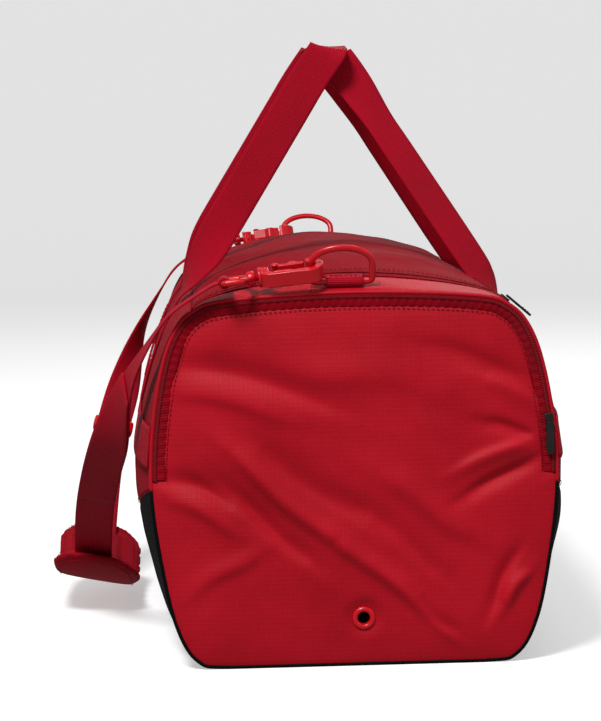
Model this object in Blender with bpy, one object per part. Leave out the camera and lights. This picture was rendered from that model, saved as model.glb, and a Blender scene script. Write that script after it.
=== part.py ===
"""Hockey equipment bag: a soft duffel with a U-shaped lid zip, zipped end pockets, two carry
handles and a clip-on padded shoulder strap. Metres, +Z up, length along Y, near end at -Y.
The origin is the centre of the flat bottom."""
from math import cos, sin, radians, pi, exp

import bmesh
import bpy
import numpy as np
from mathutils import Matrix, Vector

# Overall sizes
BAG_LENGTH = 0.810
END_WIDTH = 0.375
END_HEIGHT = 0.345
SIDE_BULGE = 0.019
CROWN = 0.028
SIDE_FADE = 0.080
CROWN_FADE = 0.060

# Cloth, webbing and clearances
CLOTH = 0.0025
GAP = 0.0003
WEB_WIDTH = 0.038
WEB_THICK = 0.0020
ZIP_TAPE = 0.009
END_TAPE = 0.005

# Panels of the body
BOTTOM_FLAT = 0.105
BLACK_TOP_END = 0.166
BLACK_TOP_MID = 0.105
LID_EDGE_X = 0.146
LID_MARGIN = 0.043
POCKET_DEPTH = 0.075
DIVIDER_CLEAR = 0.004
BOARD_WIDTH = 0.180
BOARD_THICK = 0.0040
BOARD_CLEAR = 0.010
FLAP_HINGE_Z = 0.175
BAND_Z = 0.206

# Vent eyelet
EYELET_X = 0.006
EYELET_Z = 0.044
EYELET_HOLE = 0.0055
EYELET_RIM = 0.0105
EYELET_BARREL = 0.0070

# Carry handles
HANDLE_Y = 0.135
HANDLE_BASE_Z = 0.306
HANDLE_START = 0.0050
LEFT_TOP = (-0.004, 0.125, 0.5725)
RIGHT_TOP = (0.004, 0.098, 0.5655)
GRIP_BEND = 0.022
# How far a leg has turned towards the grip, by the distance from its foot in webbing widths
LEFT_TWIST = ((0.5, 0.0), (1.2, 0.35), (2.1, 0.8), (3.1, 1.0))
RIGHT_TWIST = ((2.0, 0.0), (2.8, 0.12), (3.8, 0.4), (4.8, 0.5))

# D-rings and snap hooks
RING_WIRE = 0.0025
RING_HALF_WIDTH = 0.028
RING_HEIGHT = 0.035
RING_X = -0.008
RING_SETBACK = 0.007
RING_LEAN = radians(25)
TAB_X0, TAB_X1 = -0.022, 0.012
HOOK_HEIGHT_ON_RING = 0.0125
HOOK_ROLL = radians(20)
HOOK_PITCH = radians(6.5)
HOOK_THICK = 0.014
BILL_INNER = 0.0070
BILL_OUTER = 0.0140
WIRE_IN_BILL = 0.0020
HOOK_ROOT = 0.036
HOOK_COLLAR = 0.045
STEM_RADIUS = 0.0028
LOOP_WALL = 0.050
LOOP_BAR = 0.078
LOOP_WIRE = 0.0060
LOOP_SLACK = 0.0025
EYE_SLACK = 0.0005
GATE_WIDTH = 0.0045

# Shoulder strap
PAD_WIDTH = 0.095
PAD_THICK = 0.013
PAD_HALF = 0.125
PAD_SAG = 0.045
PAD_STANDOFF = 0.0645
PAD_BOTTOM = 0.024
PAD_ROLL = radians(-11)
ADJUSTER_STATION = -22

# Zip sliders and pulls
SLIDER_LENGTH = 0.014
SLIDER_WIDTH = 0.009
SLIDER_THICK = 0.0030
LID_SLIDER_TRAVEL = 0.175
PULL_LENGTH = 0.030
PULL_WIDTH = 0.0070
PULL_THICK = 0.0022
NEAR_SLIDER_Z = 0.222
LID_SLIDER_Y = 0.335

HALF = BAG_LENGTH / 2
ENDS = (("near", -1), ("far", 1))
SIDES = (("left", -1), ("right", 1))

# The end outline's right half, as fractions of half the width and of the height
OUTLINE = [(0.000, 0.000), (0.620, 0.000), (0.790, 0.020), (0.893, 0.120), (0.962, 0.300),
           (0.998, 0.470), (0.990, 0.620), (0.945, 0.780), (0.880, 0.890), (0.780, 0.955),
           (0.600, 0.985), (0.000, 1.000)]

for old in list(bpy.data.objects):
    bpy.data.objects.remove(old, do_unlink=True)


def material(name, colour, roughness, metallic=0.0):
    """A Principled material with one plain colour."""
    made = bpy.data.materials.new(name)
    made.use_nodes = True
    shader = made.node_tree.nodes["Principled BSDF"]
    shader.inputs["Base Color"].default_value = (*colour, 1.0)
    shader.inputs["Roughness"].default_value = roughness
    shader.inputs["Metallic"].default_value = metallic
    return made


RED = (0.45, 0.006, 0.018)
WEB_RED = (0.38, 0.004, 0.022)
GLOSS_RED = (0.50, 0.006, 0.014)
BLACK = (0.008, 0.008, 0.008)


# ---------------------------------------------------------------- the body's surface

def smooth_outline():
    """Dense points of the outline's right half, through its corner points, with their arc length."""
    corners = [(x * END_WIDTH / 2, z * END_HEIGHT) for x, z in OUTLINE]
    first, last = corners[1], corners[-2]
    row = [(-first[0], first[1])] + corners + [(-last[0], last[1])]
    points = []
    for a, b, c, d in zip(row, row[1:], row[2:], row[3:]):
        a, b, c, d = (Vector(p) for p in (a, b, c, d))
        for k in range(16):
            t = k / 16
            points.append(0.5 * (2 * b + (c - a) * t + (2 * a - 5 * b + 4 * c - d) * t * t
                                 + (3 * b - a - 3 * c + d) * t ** 3))
    points.append(Vector(corners[-1]))
    for point in points:
        point.y = max(point.y, 0.0)
    lengths = np.cumsum([0.0] + [(q - p).length for p, q in zip(points, points[1:])])
    return np.array([p.x for p in points]), np.array([p.y for p in points]), lengths


OUT_X, OUT_Z, OUT_A = smooth_outline()
GIRTH = float(OUT_A[-1])


def arc_at_height(z):
    """Arc length from the bottom's centre to height z on the side."""
    side = OUT_Z >= 0.001
    return float(np.interp(z, OUT_Z[side], OUT_A[side]))


def arc_at_top_x(x):
    """Arc length from the bottom's centre to a point of the top at distance x from the middle."""
    top = OUT_Z > END_HEIGHT * 0.7
    return float(np.interp(-x, -OUT_X[top], OUT_A[top]))


ARC_FLAT = float(np.interp(BOTTOM_FLAT, OUT_X[:30], OUT_A[:30]))
ARC_LID = arc_at_top_x(LID_EDGE_X)
ARC_SIDE_END = ARC_LID - 0.010


def swell(y, fade):
    """How far the cloth has swollen at y: 0 at both ends and nearly 1 in the middle."""
    near, far = max(y + HALF, 0.0), max(HALF - y, 0.0)
    return (1 - exp(-near / fade)) * (1 - exp(-far / fade))


def profile(arc, y):
    """Point (x, z) of the body's outside; arc runs from the bottom's centre, up the right side,
    over the top at GIRTH and down the left side. It may also be negative, to the left."""
    arc = arc if arc <= 2 * GIRTH else arc - 2 * GIRTH
    mirrored = arc < 0 or arc > GIRTH
    half = -arc if arc < 0 else (2 * GIRTH - arc if arc > GIRTH else arc)
    x = float(np.interp(half, OUT_A, OUT_X))
    z = float(np.interp(half, OUT_A, OUT_Z))
    if ARC_FLAT < half < ARC_SIDE_END:
        t = (half - ARC_FLAT) / (ARC_SIDE_END - ARC_FLAT)
        x += SIDE_BULGE * sin(pi * t) ** 1.5 * swell(y, SIDE_FADE)
    if half > ARC_LID:
        z += CROWN * (1 - (x / LID_EDGE_X) ** 2) * swell(y, CROWN_FADE)
    return (-x if mirrored else x), z


def surface(arc, y, out=0.0):
    """Point of the body's surface, moved out by a distance along its outward direction."""
    step = 0.002
    x, z = profile(arc, y)
    ax, az = profile(arc - step, y)
    bx, bz = profile(arc + step, y)
    along = Vector((bx - ax, bz - az)).normalized()
    return Vector((x + along.y * out, y, z - along.x * out))


def left(arc):
    """The arc of the mirrored point on the left side."""
    return 2 * GIRTH - arc


# ---------------------------------------------------------------- builders

EMPTIES = {}


def joint_empty(name, location):
    """An empty on a joint's axis, which carries the pieces that the joint moves."""
    empty = bpy.data.objects.new(name + "_joint", None)
    empty.location = location
    bpy.context.collection.objects.link(empty)
    EMPTIES[name] = empty
    return empty


def add(name, bm, colour, roughness=0.6, body=None, smooth=35):
    """Makes the named object from a bmesh in world space, on its body's empty if it has one."""
    bmesh.ops.recalc_face_normals(bm, faces=bm.faces)
    origin = EMPTIES[body].location.copy() if body else Vector((0, 0, 0))
    bmesh.ops.translate(bm, verts=bm.verts, vec=-origin)
    mesh = bpy.data.meshes.new(name)
    bm.to_mesh(mesh)
    bm.free()
    mesh.shade_smooth()
    mesh.set_sharp_from_angle(angle=radians(smooth))
    mesh.materials.append(material(name, colour, roughness))
    made = bpy.data.objects.new(name, mesh)
    bpy.context.collection.objects.link(made)
    if body:
        made.parent = EMPTIES[body]
    return made


def slab(rows_out, rows_in):
    """A closed solid between two grids of points of the same size."""
    bm = bmesh.new()
    outer = [[bm.verts.new(p) for p in row] for row in rows_out]
    inner = [[bm.verts.new(p) for p in row] for row in rows_in]
    last_i, last_j = len(outer) - 1, len(outer[0]) - 1
    for grid in (outer, inner):
        for i in range(last_i):
            for j in range(last_j):
                a, b, c, d = grid[i][j], grid[i + 1][j], grid[i + 1][j + 1], grid[i][j + 1]
                bm.faces.new((a, b, c))
                bm.faces.new((a, c, d))
    for i in range(last_i):
        for j in (0, last_j):
            bm.faces.new((outer[i][j], outer[i + 1][j], inner[i + 1][j], inner[i][j]))
    for j in range(last_j):
        for i in (0, last_i):
            bm.faces.new((outer[i][j], outer[i][j + 1], inner[i][j + 1], inner[i][j]))
    return bm


def spread(start, stop, count):
    """Evenly spaced values from start to stop, both included."""
    return [start + (stop - start) * k / count for k in range(count + 1)]


def stations(y0, y1, count):
    """Values of y from y0 to y1, closer together near the bag's ends."""
    return [(y0 + y1) / 2 + (y1 - y0) / 2 * sin(pi / 2 * t) for t in spread(-1, 1, count)]


def panel(arc0, arc1, ys, across, out=0.0, thick=CLOTH):
    """A piece of cloth on the body between two arcs, which may be functions of y."""
    first = arc0 if callable(arc0) else (lambda y: arc0)
    final = arc1 if callable(arc1) else (lambda y: arc1)
    rows = [[(arc, y) for arc in spread(first(y) + GAP / 2, final(y) - GAP / 2, across)] for y in ys]
    return slab([[surface(a, y, out) for a, y in row] for row in rows],
                [[surface(a, y, out - thick) for a, y in row] for row in rows])


def strip(route, width, out=0.0, thick=CLOTH, start=0.0):
    """A strip on the body beside a route of (arc, y) points, from start to start + width to
    the route's left, with mitred corners."""
    sides = []
    for k, (arc, y) in enumerate(route):
        before, after = route[max(k - 1, 0)], route[min(k + 1, len(route) - 1)]
        into = Vector((arc - before[0], y - before[1]))
        away = Vector((after[0] - arc, after[1] - y))
        into = (into if into.length else away).normalized()
        away = (away if away.length else into).normalized()
        normal = (Vector((-into.y, into.x)) + Vector((-away.y, away.x))).normalized()
        sides.append(normal / max(normal.dot(Vector((-into.y, into.x))), 0.3))
    rows = [[(arc + n.x * d, y + n.y * d) for d in spread(start, start + width, 1)]
            for (arc, y), n in zip(route, sides)]
    return slab([[surface(a, y, out) for a, y in row] for row in rows],
                [[surface(a, y, out - thick) for a, y in row] for row in rows])


def plate(points, y_outer, y_inner):
    """A flat plate in a plane across the bag, from an outline of (x, z) points."""
    bm = bmesh.new()
    front = bm.faces.new([bm.verts.new((x, y_outer, z)) for x, z in points])
    pushed = bmesh.ops.extrude_face_region(bm, geom=[front])
    moved = [v for v in pushed["geom"] if isinstance(v, bmesh.types.BMVert)]
    bmesh.ops.translate(bm, verts=moved, vec=(0, y_inner - y_outer, 0))
    bmesh.ops.triangulate(bm, faces=[f for f in bm.faces if len(f.verts) > 4])
    return bm


def sweep(frames, section, closed=False):
    """Sweeps a closed section of (across, up) points along frames of (centre, across, up)."""
    bm = bmesh.new()
    rings = [[bm.verts.new(c + w * u + n * v) for u, v in section] for c, w, n in frames]
    count = len(section)
    pairs = list(zip(rings, rings[1:])) + ([(rings[-1], rings[0])] if closed else [])
    for one, two in pairs:
        for k in range(count):
            m = (k + 1) % count
            bm.faces.new((one[k], one[m], two[m]))
            bm.faces.new((one[k], two[m], two[k]))
    if not closed:
        for ring in (rings[0], rings[-1]):
            bm.faces.new(ring)
    return bm


def circle(radius, sides):
    """A round section."""
    return [(radius * cos(2 * pi * k / sides), radius * sin(2 * pi * k / sides)) for k in range(sides)]


def flat_section(width, thick, across=2):
    """The section of flat webbing, divided across its width."""
    top = [(u, thick / 2) for u in spread(width / 2, -width / 2, across)]
    return top + [(u, -thick / 2) for u in spread(-width / 2, width / 2, across)]


def curve_through(points, steps):
    """Points of a smooth curve through the given ones."""
    row = [2 * points[0] - points[1]] + list(points) + [2 * points[-1] - points[-2]]
    made = []
    for a, b, c, d in zip(row, row[1:], row[2:], row[3:]):
        for k in range(steps):
            t = k / steps
            made.append(0.5 * (2 * b + (c - a) * t + (2 * a - 5 * b + 4 * c - d) * t * t
                               + (3 * b - a - 3 * c + d) * t ** 3))
    return made + [points[-1].copy()]


def web_frames(points, widths, steps):
    """Frames of webbing along a smooth curve, whose width directions turn smoothly with it."""
    centres = curve_through([Vector(p) for p in points], steps)
    across = curve_through([Vector(w).normalized() for w in widths], steps)
    frames = []
    for k, centre in enumerate(centres):
        ahead = (centres[min(k + 1, len(centres) - 1)] - centres[max(k - 1, 0)]).normalized()
        w = (across[k] - ahead * across[k].dot(ahead)).normalized()
        frames.append((centre, w, ahead.cross(w)))
    return frames


def rod(start, end, radius, sides=16):
    """A plain round rod between two points."""
    start, end = Vector(start), Vector(end)
    ahead = (end - start).normalized()
    w = ahead.orthogonal().normalized()
    return sweep([(start, w, ahead.cross(w)), (end, w, ahead.cross(w))], circle(radius, sides))


def cutter(name, bm):
    """A hidden tool for a Boolean."""
    bmesh.ops.recalc_face_normals(bm, faces=bm.faces)
    mesh = bpy.data.meshes.new(name)
    bm.to_mesh(mesh)
    bm.free()
    made = bpy.data.objects.new(name, mesh)
    made.hide_render = True
    made.display_type = "WIRE"
    bpy.context.collection.objects.link(made)
    return made


def boolean(target, tool, operation="DIFFERENCE"):
    """A Boolean with the exact solver; tools of moving pieces share the piece's empty."""
    if target.parent:
        tool.data.transform(Matrix.Translation(-target.parent.location))
        tool.parent = target.parent
    step = target.modifiers.new(operation.lower(), "BOOLEAN")
    step.operation = operation
    step.solver = "EXACT"
    step.object = tool


def bevel(target, width, segments=2, angle=40):
    """Rounds the sharp edges."""
    step = target.modifiers.new("rounded", "BEVEL")
    step.width = width
    step.segments = segments
    step.limit_method = "ANGLE"
    step.angle_limit = radians(angle)


# ---------------------------------------------------------------- cloth body

SHELL_END = HALF - CLOTH - GAP
BODY_YS = stations(-SHELL_END, SHELL_END, 12)
LID_END = HALF - LID_MARGIN
ARC_BODY_TAPE = ARC_LID - ZIP_TAPE


def black_seam(y):
    """Arc of the seam between the black lower cloth and the red upper cloth."""
    t = (abs(y) / HALF) ** 1.5
    return arc_at_height(BLACK_TOP_MID + (BLACK_TOP_END - BLACK_TOP_MID) * t)


def body_cloth():
    """Bottom, black lower sides, red upper sides and the top pieces beside the lid."""
    add("bottom_panel", panel(-ARC_FLAT, ARC_FLAT, BODY_YS, 2), BLACK, 0.7)
    add("right_lower_panel", panel(ARC_FLAT, black_seam, BODY_YS, 5), BLACK, 0.7)
    add("left_lower_panel", panel(lambda y: left(black_seam(y)), left(ARC_FLAT), BODY_YS, 5), BLACK, 0.7)
    add("right_upper_panel", panel(black_seam, ARC_BODY_TAPE, BODY_YS, 6), RED)
    add("left_upper_panel", panel(left(ARC_LID), lambda y: left(black_seam(y)), BODY_YS, 6), RED)
    for name, end in ENDS:
        ys = spread(end * SHELL_END, end * (LID_END + ZIP_TAPE + GAP), 3)
        add(name + "_top_gusset", panel(ARC_BODY_TAPE, left(ARC_LID), sorted(ys), 12), RED)
    board = bmesh.new()
    bmesh.ops.create_cube(board, size=1.0)
    length = BAG_LENGTH - 2 * POCKET_DEPTH - BOARD_CLEAR
    bmesh.ops.scale(board, verts=board.verts, vec=(BOARD_WIDTH, length, BOARD_THICK))
    bmesh.ops.translate(board, verts=board.verts, vec=(0, 0, CLOTH + GAP + BOARD_THICK / 2))
    add("base_board", board, BLACK, 0.5)


def lid():
    """The lid's cloth, hinged on its left seam, and the zip tapes on its other three sides."""
    hinge = surface(left(ARC_LID), 0.0, GAP)
    joint_empty("lid", hinge)
    inner = ARC_LID + ZIP_TAPE
    ys = stations(-LID_END + ZIP_TAPE, LID_END - ZIP_TAPE, 10)
    add("lid_panel", panel(inner, left(ARC_LID), ys, 11), RED, body="lid")
    corner_y = LID_END
    reach = spread(left(ARC_LID) - GAP / 2, ARC_LID, 12)
    route = [(a, -corner_y) for a in reach]
    route += [(ARC_LID, y) for y in stations(-corner_y, corner_y, 10)[1:-1]]
    route += [(a, corner_y) for a in reversed(reach)]
    tape = strip(route, -(ZIP_TAPE - GAP / 2), start=-GAP / 2)
    add("lid_zip_inner_tape", tape, WEB_RED, body="lid")
    add("lid_zip_outer_tape", strip(route, ZIP_TAPE - GAP / 2, start=GAP / 2), WEB_RED)


def end_outline(inset, z_low, count):
    """The end's outline above a height, inset by a distance, from right to left over the top."""
    low = arc_at_height(z_low)
    return [surface(a, HALF, -inset) for a in spread(low, left(low), count)]


def end_band(inset0, inset1, z_low, end, count=28):
    """A flat U-shaped band of the end between two insets."""
    outer = end_outline(inset0, z_low, count)
    inner = end_outline(inset1, z_low, count)
    fronts = [[Vector((p.x, end * HALF, p.z)) for p in pair] for pair in zip(outer, inner)]
    backs = [[Vector((p.x, end * (HALF - CLOTH), p.z)) for p in pair] for pair in zip(outer, inner)]
    return slab(fronts, backs)


def end_cloth():
    """Each end: the fixed lower panel with its vent, and the zipped flap above it."""
    low = arc_at_height(FLAP_HINGE_Z - GAP)
    for name, end in ENDS:
        outline = [surface(a, HALF) for a in spread(-low, low, 26)]
        lower = add(name + "_end_lower_panel",
                    plate([(p.x, p.z) for p in outline], end * HALF, end * (HALF - CLOTH)), RED)
        hole = cutter(name + "_vent_cutter", rod((EYELET_X, end * (HALF - 0.02), EYELET_Z),
                                                 (EYELET_X, end * (HALF + 0.02), EYELET_Z),
                                                 EYELET_BARREL + GAP, 18))
        boolean(lower, hole)
        joint_empty(name + "_flap", Vector((0, end * (HALF + GAP), FLAP_HINGE_Z)))
        add(name + "_end_zip_outer_tape", end_band(0, END_TAPE, FLAP_HINGE_Z, end), WEB_RED)
        add(name + "_end_zip_inner_tape",
            end_band(END_TAPE + GAP, END_TAPE + ZIP_TAPE, FLAP_HINGE_Z, end), WEB_RED, body=name + "_flap")
        rim = end_outline(END_TAPE + ZIP_TAPE + GAP, FLAP_HINGE_Z, 28)
        add(name + "_end_flap", plate([(p.x, p.z) for p in rim], end * HALF, end * (HALF - CLOTH)),
            RED, body=name + "_flap")


def turned(profile_points, centre, end, sides=18):
    """A ring turned about an axis along Y, from (radius, depth) points, depth going inward."""
    frames = []
    for k in range(sides):
        angle = 2 * pi * k / sides
        frames.append((Vector(centre), Vector((cos(angle), 0, sin(angle))), Vector((0, -end, 0))))
    return sweep(frames, profile_points, closed=True)


def vents():
    """A moulded eyelet through each lower end panel, held by a washer behind it."""
    for name, end in ENDS:
        centre = (EYELET_X, end * HALF, EYELET_Z)
        lip = CLOTH + 0.004
        front = [(EYELET_HOLE, -0.0022), (EYELET_HOLE + 0.002, -0.0030), (EYELET_RIM - 0.001, -0.0024),
                 (EYELET_RIM, -GAP), (EYELET_BARREL, -GAP), (EYELET_BARREL, lip), (EYELET_HOLE, lip)]
        add(name + "_vent_eyelet", turned(front, centre, end), GLOSS_RED, 0.25)
        near, deep = CLOTH + GAP, CLOTH + 0.0018
        back = [(EYELET_BARREL + GAP, near), (EYELET_RIM, near), (EYELET_RIM, deep),
                (EYELET_BARREL + GAP, deep)]
        add(name + "_vent_washer", turned(back, centre, end), BLACK, 0.4)


def dividers():
    """The cloth walls between the main compartment and the end pockets."""
    for name, end in ENDS:
        y = end * (HALF - POCKET_DEPTH)
        inside = CLOTH + DIVIDER_CLEAR
        rim = [surface(a, y, -inside) for a in spread(0.0, 2 * GIRTH, 36)[:-1]]
        add(name + "_pocket_divider", plate([(p.x, p.z) for p in rim], y, y - end * CLOTH), BLACK, 0.8)


# ---------------------------------------------------------------- webbing on the body and handles

def side_webbing():
    """The band along each side and the four sewn anchors of the handles."""
    low, high = arc_at_height(BAND_Z - WEB_WIDTH / 2), arc_at_height(BAND_Z + WEB_WIDTH / 2)
    top = arc_at_height(HANDLE_BASE_Z)
    lift = WEB_THICK + GAP
    for side, sign in SIDES:
        a0, a1 = (low, high) if sign > 0 else (left(high), left(low))
        add(side + "_side_band", panel(a0, a1, BODY_YS, 3, out=lift, thick=WEB_THICK), WEB_RED)
        a0, a1 = (high, top) if sign > 0 else (left(top), left(high))
        for name, end in ENDS:
            ys = spread(end * HANDLE_Y - WEB_WIDTH / 2, end * HANDLE_Y + WEB_WIDTH / 2, 3)
            add(side + "_" + name + "_handle_anchor",
                panel(a0, a1, ys, 5, out=lift, thick=WEB_THICK), WEB_RED)


def handle_pivot(sign):
    """The line where a handle leg bends, at the top of its anchor."""
    arc = arc_at_height(HANDLE_BASE_Z)
    point = surface(arc, HANDLE_Y, WEB_THICK + GAP)
    return Vector((sign * point.x, 0, point.z))


def handles():
    """Two webbing loops, whose legs turn a quarter turn between the side and the grip."""
    for (side, sign), top, twists in zip(SIDES, (LEFT_TOP, RIGHT_TOP), (LEFT_TWIST, RIGHT_TWIST)):
        pivot = handle_pivot(sign)
        joint_empty(side + "_handle", pivot)
        foot = Vector((pivot.x, -HANDLE_Y, pivot.z))
        tip = Vector((top[0], -top[1], top[2]))
        lean = (tip - foot).normalized()
        base = foot + lean * HANDLE_START
        across = Vector((lean.z, 0, -lean.x)).normalized()
        leg = (tip - base).length
        turn = [(0, 0)] + [(k * WEB_WIDTH / leg, twist) for k, twist in twists]
        turn += [(0.74, twists[-1][1]), (0.88, (1 + twists[-1][1]) / 2)]
        points, widths = [], []
        for share, twist in turn:
            points.append(base.lerp(tip, share))
            widths.append(Vector((0, sign, 0)) * cos(twist * pi / 2) + across * sin(twist * pi / 2))
        points += [tip + Vector((0, 0.0020, -0.0035)), tip + Vector((0, GRIP_BEND, 0)),
                   Vector((top[0], -top[1] / 2, top[2])), Vector((top[0], 0, top[2]))]
        widths += [(across + Vector((1, 0, 0))) / 2] + [Vector((1, 0, 0))] * 3
        points += [Vector((p.x, -p.y, p.z)) for p in reversed(points[:-1])]
        widths += [Vector((w.x, -w.y, w.z)) for w in reversed(widths[:-1])]
        frames = web_frames(points, widths, 3)
        add(side + "_handle", sweep(frames, flat_section(WEB_WIDTH, WEB_THICK)), WEB_RED,
            body=side + "_handle")


# ---------------------------------------------------------------- D-rings and snap hooks

def ring_bar(end):
    """Centre of a D-ring's straight bar."""
    y = end * (HALF - RING_SETBACK)
    top = surface(GIRTH, y).z
    return Vector((RING_X, y, top + GAP + WEB_THICK + GAP + RING_WIRE))


def ring_up(end):
    """Direction in which a D-ring stands up from its bar."""
    return Vector((0, end * sin(RING_LEAN), cos(RING_LEAN)))


def d_rings():
    """Moulded D-rings, standing in the webbing tabs of the top gussets."""
    corner = 0.004
    for name, end in ENDS:
        bar = ring_bar(end)
        joint_empty(name + "_ring", bar)
        flat = [(-RING_HALF_WIDTH + corner, 0), (-RING_HALF_WIDTH + 0.0012, 0.0012),
                (-RING_HALF_WIDTH, corner), (-RING_HALF_WIDTH, 0.012), (-RING_HALF_WIDTH, 0.019)]
        for k in range(1, 6):
            angle = pi - pi * k / 12
            flat.append((RING_HALF_WIDTH * cos(angle), 0.019 + (RING_HEIGHT - 0.019) * sin(angle)))
        flat += [(0, RING_HEIGHT)] + [(-x, h) for x, h in reversed(flat)]
        up = ring_up(end)
        out = Vector((1, 0, 0)).cross(up)
        centres = [bar + Vector((x, 0, 0)) + up * h for x, h in flat]
        frames = []
        for k, centre in enumerate(centres):
            ahead = (centres[(k + 1) % len(centres)] - centres[k - 1]).normalized()
            frames.append((centre, ahead.cross(out), out))
        add(name + "_d_ring", sweep(frames, circle(RING_WIRE, 8), closed=True), GLOSS_RED, 0.25,
            body=name + "_ring", smooth=60)


def ring_tabs():
    """Webbing tabs sewn to the gussets, each folded round the bar of its D-ring."""
    inner = RING_WIRE + GAP
    outer = inner + WEB_THICK * 0.8
    tail = 0.020
    for name, end in ENDS:
        bar = ring_bar(end)
        # The section lies across the bar: round it on the outside, then inward along the gusset.
        foot = []
        for back in spread(0.0, tail, 4):
            rise = surface(GIRTH, bar.y - end * back).z + GAP * 2 - bar.z
            foot.append((-back, rise))
        section = [(outer * cos(a), outer * sin(a)) for a in spread(-pi / 2, pi / 2, 8)]
        section += [(-a, max(b + WEB_THICK, outer * 0.55)) for a, b in ((0.006, foot[1][1]),)]
        section += [(a, b + WEB_THICK) for a, b in foot[2:]] + list(reversed(foot))[:-1]
        hole = [(inner * cos(2 * pi * k / 16), inner * sin(2 * pi * k / 16)) for k in range(16)]
        bm = bmesh.new()
        face = bm.faces.new([bm.verts.new((TAB_X0, bar.y + end * a, bar.z + b)) for a, b in section])
        pushed = bmesh.ops.extrude_face_region(bm, geom=[face])
        moved = [v for v in pushed["geom"] if isinstance(v, bmesh.types.BMVert)]
        bmesh.ops.translate(bm, verts=moved, vec=(TAB_X1 - TAB_X0, 0, 0))
        tab = add(name + "_ring_tab", bm, WEB_RED)
        tool = bmesh.new()
        face = tool.faces.new([tool.verts.new((TAB_X0 - 0.01, bar.y + a, bar.z + b)) for a, b in hole])
        pushed = bmesh.ops.extrude_face_region(tool, geom=[face])
        moved = [v for v in pushed["geom"] if isinstance(v, bmesh.types.BMVert)]
        bmesh.ops.translate(tool, verts=moved, vec=(TAB_X1 - TAB_X0 + 0.02, 0, 0))
        boolean(tab, cutter(name + "_tab_cutter", tool))


class HookFrame:
    """Where one snap hook lies: u along its length, v across towards its gate, n through it."""

    def __init__(self, end):
        wire = ring_bar(end) + Vector((-RING_HALF_WIDTH, 0, 0)) + ring_up(end) * HOOK_HEIGHT_ON_RING
        self.u = Vector((cos(HOOK_PITCH), 0, sin(HOOK_PITCH)))
        flat = Vector((0, -end, 0))
        level = Vector((-sin(HOOK_PITCH), 0, cos(HOOK_PITCH)))
        self.v = flat * cos(HOOK_ROLL) + level * sin(HOOK_ROLL)
        self.n = level * cos(HOOK_ROLL) - flat * sin(HOOK_ROLL)
        self.flat, self.level = flat, level
        self.origin = wire - self.u * WIRE_IN_BILL

    def at(self, u, v, n=0.0):
        """World point from the hook's own coordinates."""
        return self.origin + self.u * u + self.v * v + self.n * n

    def solid(self, points, low, high):
        """Extrudes a (u, v) outline from one depth to another."""
        bm = bmesh.new()
        face = bm.faces.new([bm.verts.new(self.at(u, v, low)) for u, v in points])
        pushed = bmesh.ops.extrude_face_region(bm, geom=[face])
        moved = [v for v in pushed["geom"] if isinstance(v, bmesh.types.BMVert)]
        bmesh.ops.translate(bm, verts=moved, vec=self.n * (high - low))
        return bm


GATE_PIVOT = (-HOOK_ROOT + 0.006, 0.0095)


def hook_outline():
    """The hook's outline: collar, root, spine on one side and the bill curled round the ring."""
    reach, mouth = BILL_OUTER, radians(100)
    points = [(-HOOK_COLLAR, -0.008), (-HOOK_ROOT, -0.0115), (-0.012, -BILL_OUTER + 0.0015)]
    for k in range(11):
        angle = -pi / 2 + (pi / 2 + mouth) * k / 10
        points.append((reach * cos(angle), reach * sin(angle)))
    for k in range(11):
        angle = mouth - (pi / 2 + mouth) * k / 10
        points.append((BILL_INNER * cos(angle), BILL_INNER * sin(angle)))
    points += [(-0.015, -BILL_INNER), (-HOOK_ROOT + 0.002, -0.0055), (-HOOK_ROOT, -0.003),
               (-HOOK_ROOT, 0.0060), (-HOOK_COLLAR, 0.008)]
    return points


def snap_hooks():
    """Swivel snap hooks on the D-rings: hook, sprung gate and the loop that holds the strap."""
    for name, end in ENDS:
        frame = HookFrame(end)
        half = HOOK_THICK / 2
        joint_empty(name + "_hook", frame.at(-HOOK_COLLAR, 0))
        hook = add(name + "_hook", frame.solid(hook_outline(), -half, half), GLOSS_RED, 0.25,
                   body=name + "_hook")
        bevel(hook, 0.0016, 1)
        stem = cutter(name + "_hook_stem", rod(frame.at(-HOOK_COLLAR + 0.003, 0),
                                               frame.at(-LOOP_WALL - LOOP_WIRE - 0.0005, 0),
                                               STEM_RADIUS, 10))
        boolean(hook, stem, "UNION")
        head = cutter(name + "_hook_head", rod(frame.at(-LOOP_WALL - LOOP_WIRE - GAP, 0),
                                               frame.at(-LOOP_WALL - LOOP_WIRE - 0.0030, 0), 0.0055, 12))
        boolean(hook, head, "UNION")
        joint_empty(name + "_gate", frame.at(*GATE_PIVOT))
        start, tip = GATE_PIVOT[0] - 0.003, -0.0032
        low, high = 0.0078, 0.0078 + GATE_WIDTH
        gate = [(start, low), (tip - 0.001, low), (tip, high), (-0.010, high), (-0.012, high + 0.003),
                (-0.016, high + 0.003), (-0.019, high), (start, high)]
        latch = add(name + "_hook_gate", frame.solid(gate, -half * 0.8, half * 0.8), GLOSS_RED, 0.25,
                    body=name + "_gate")
        bevel(latch, 0.0008, 1)


def loop_frame(end):
    """The swivel loop's own frame, level across the bag."""
    hook = HookFrame(end)
    return hook.origin, hook.u, hook.flat, hook.level


def strap_bar(end):
    """Centre of the bar that the strap's webbing is sewn round."""
    origin, u, _, _ = loop_frame(end)
    return origin - u * LOOP_BAR


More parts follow.
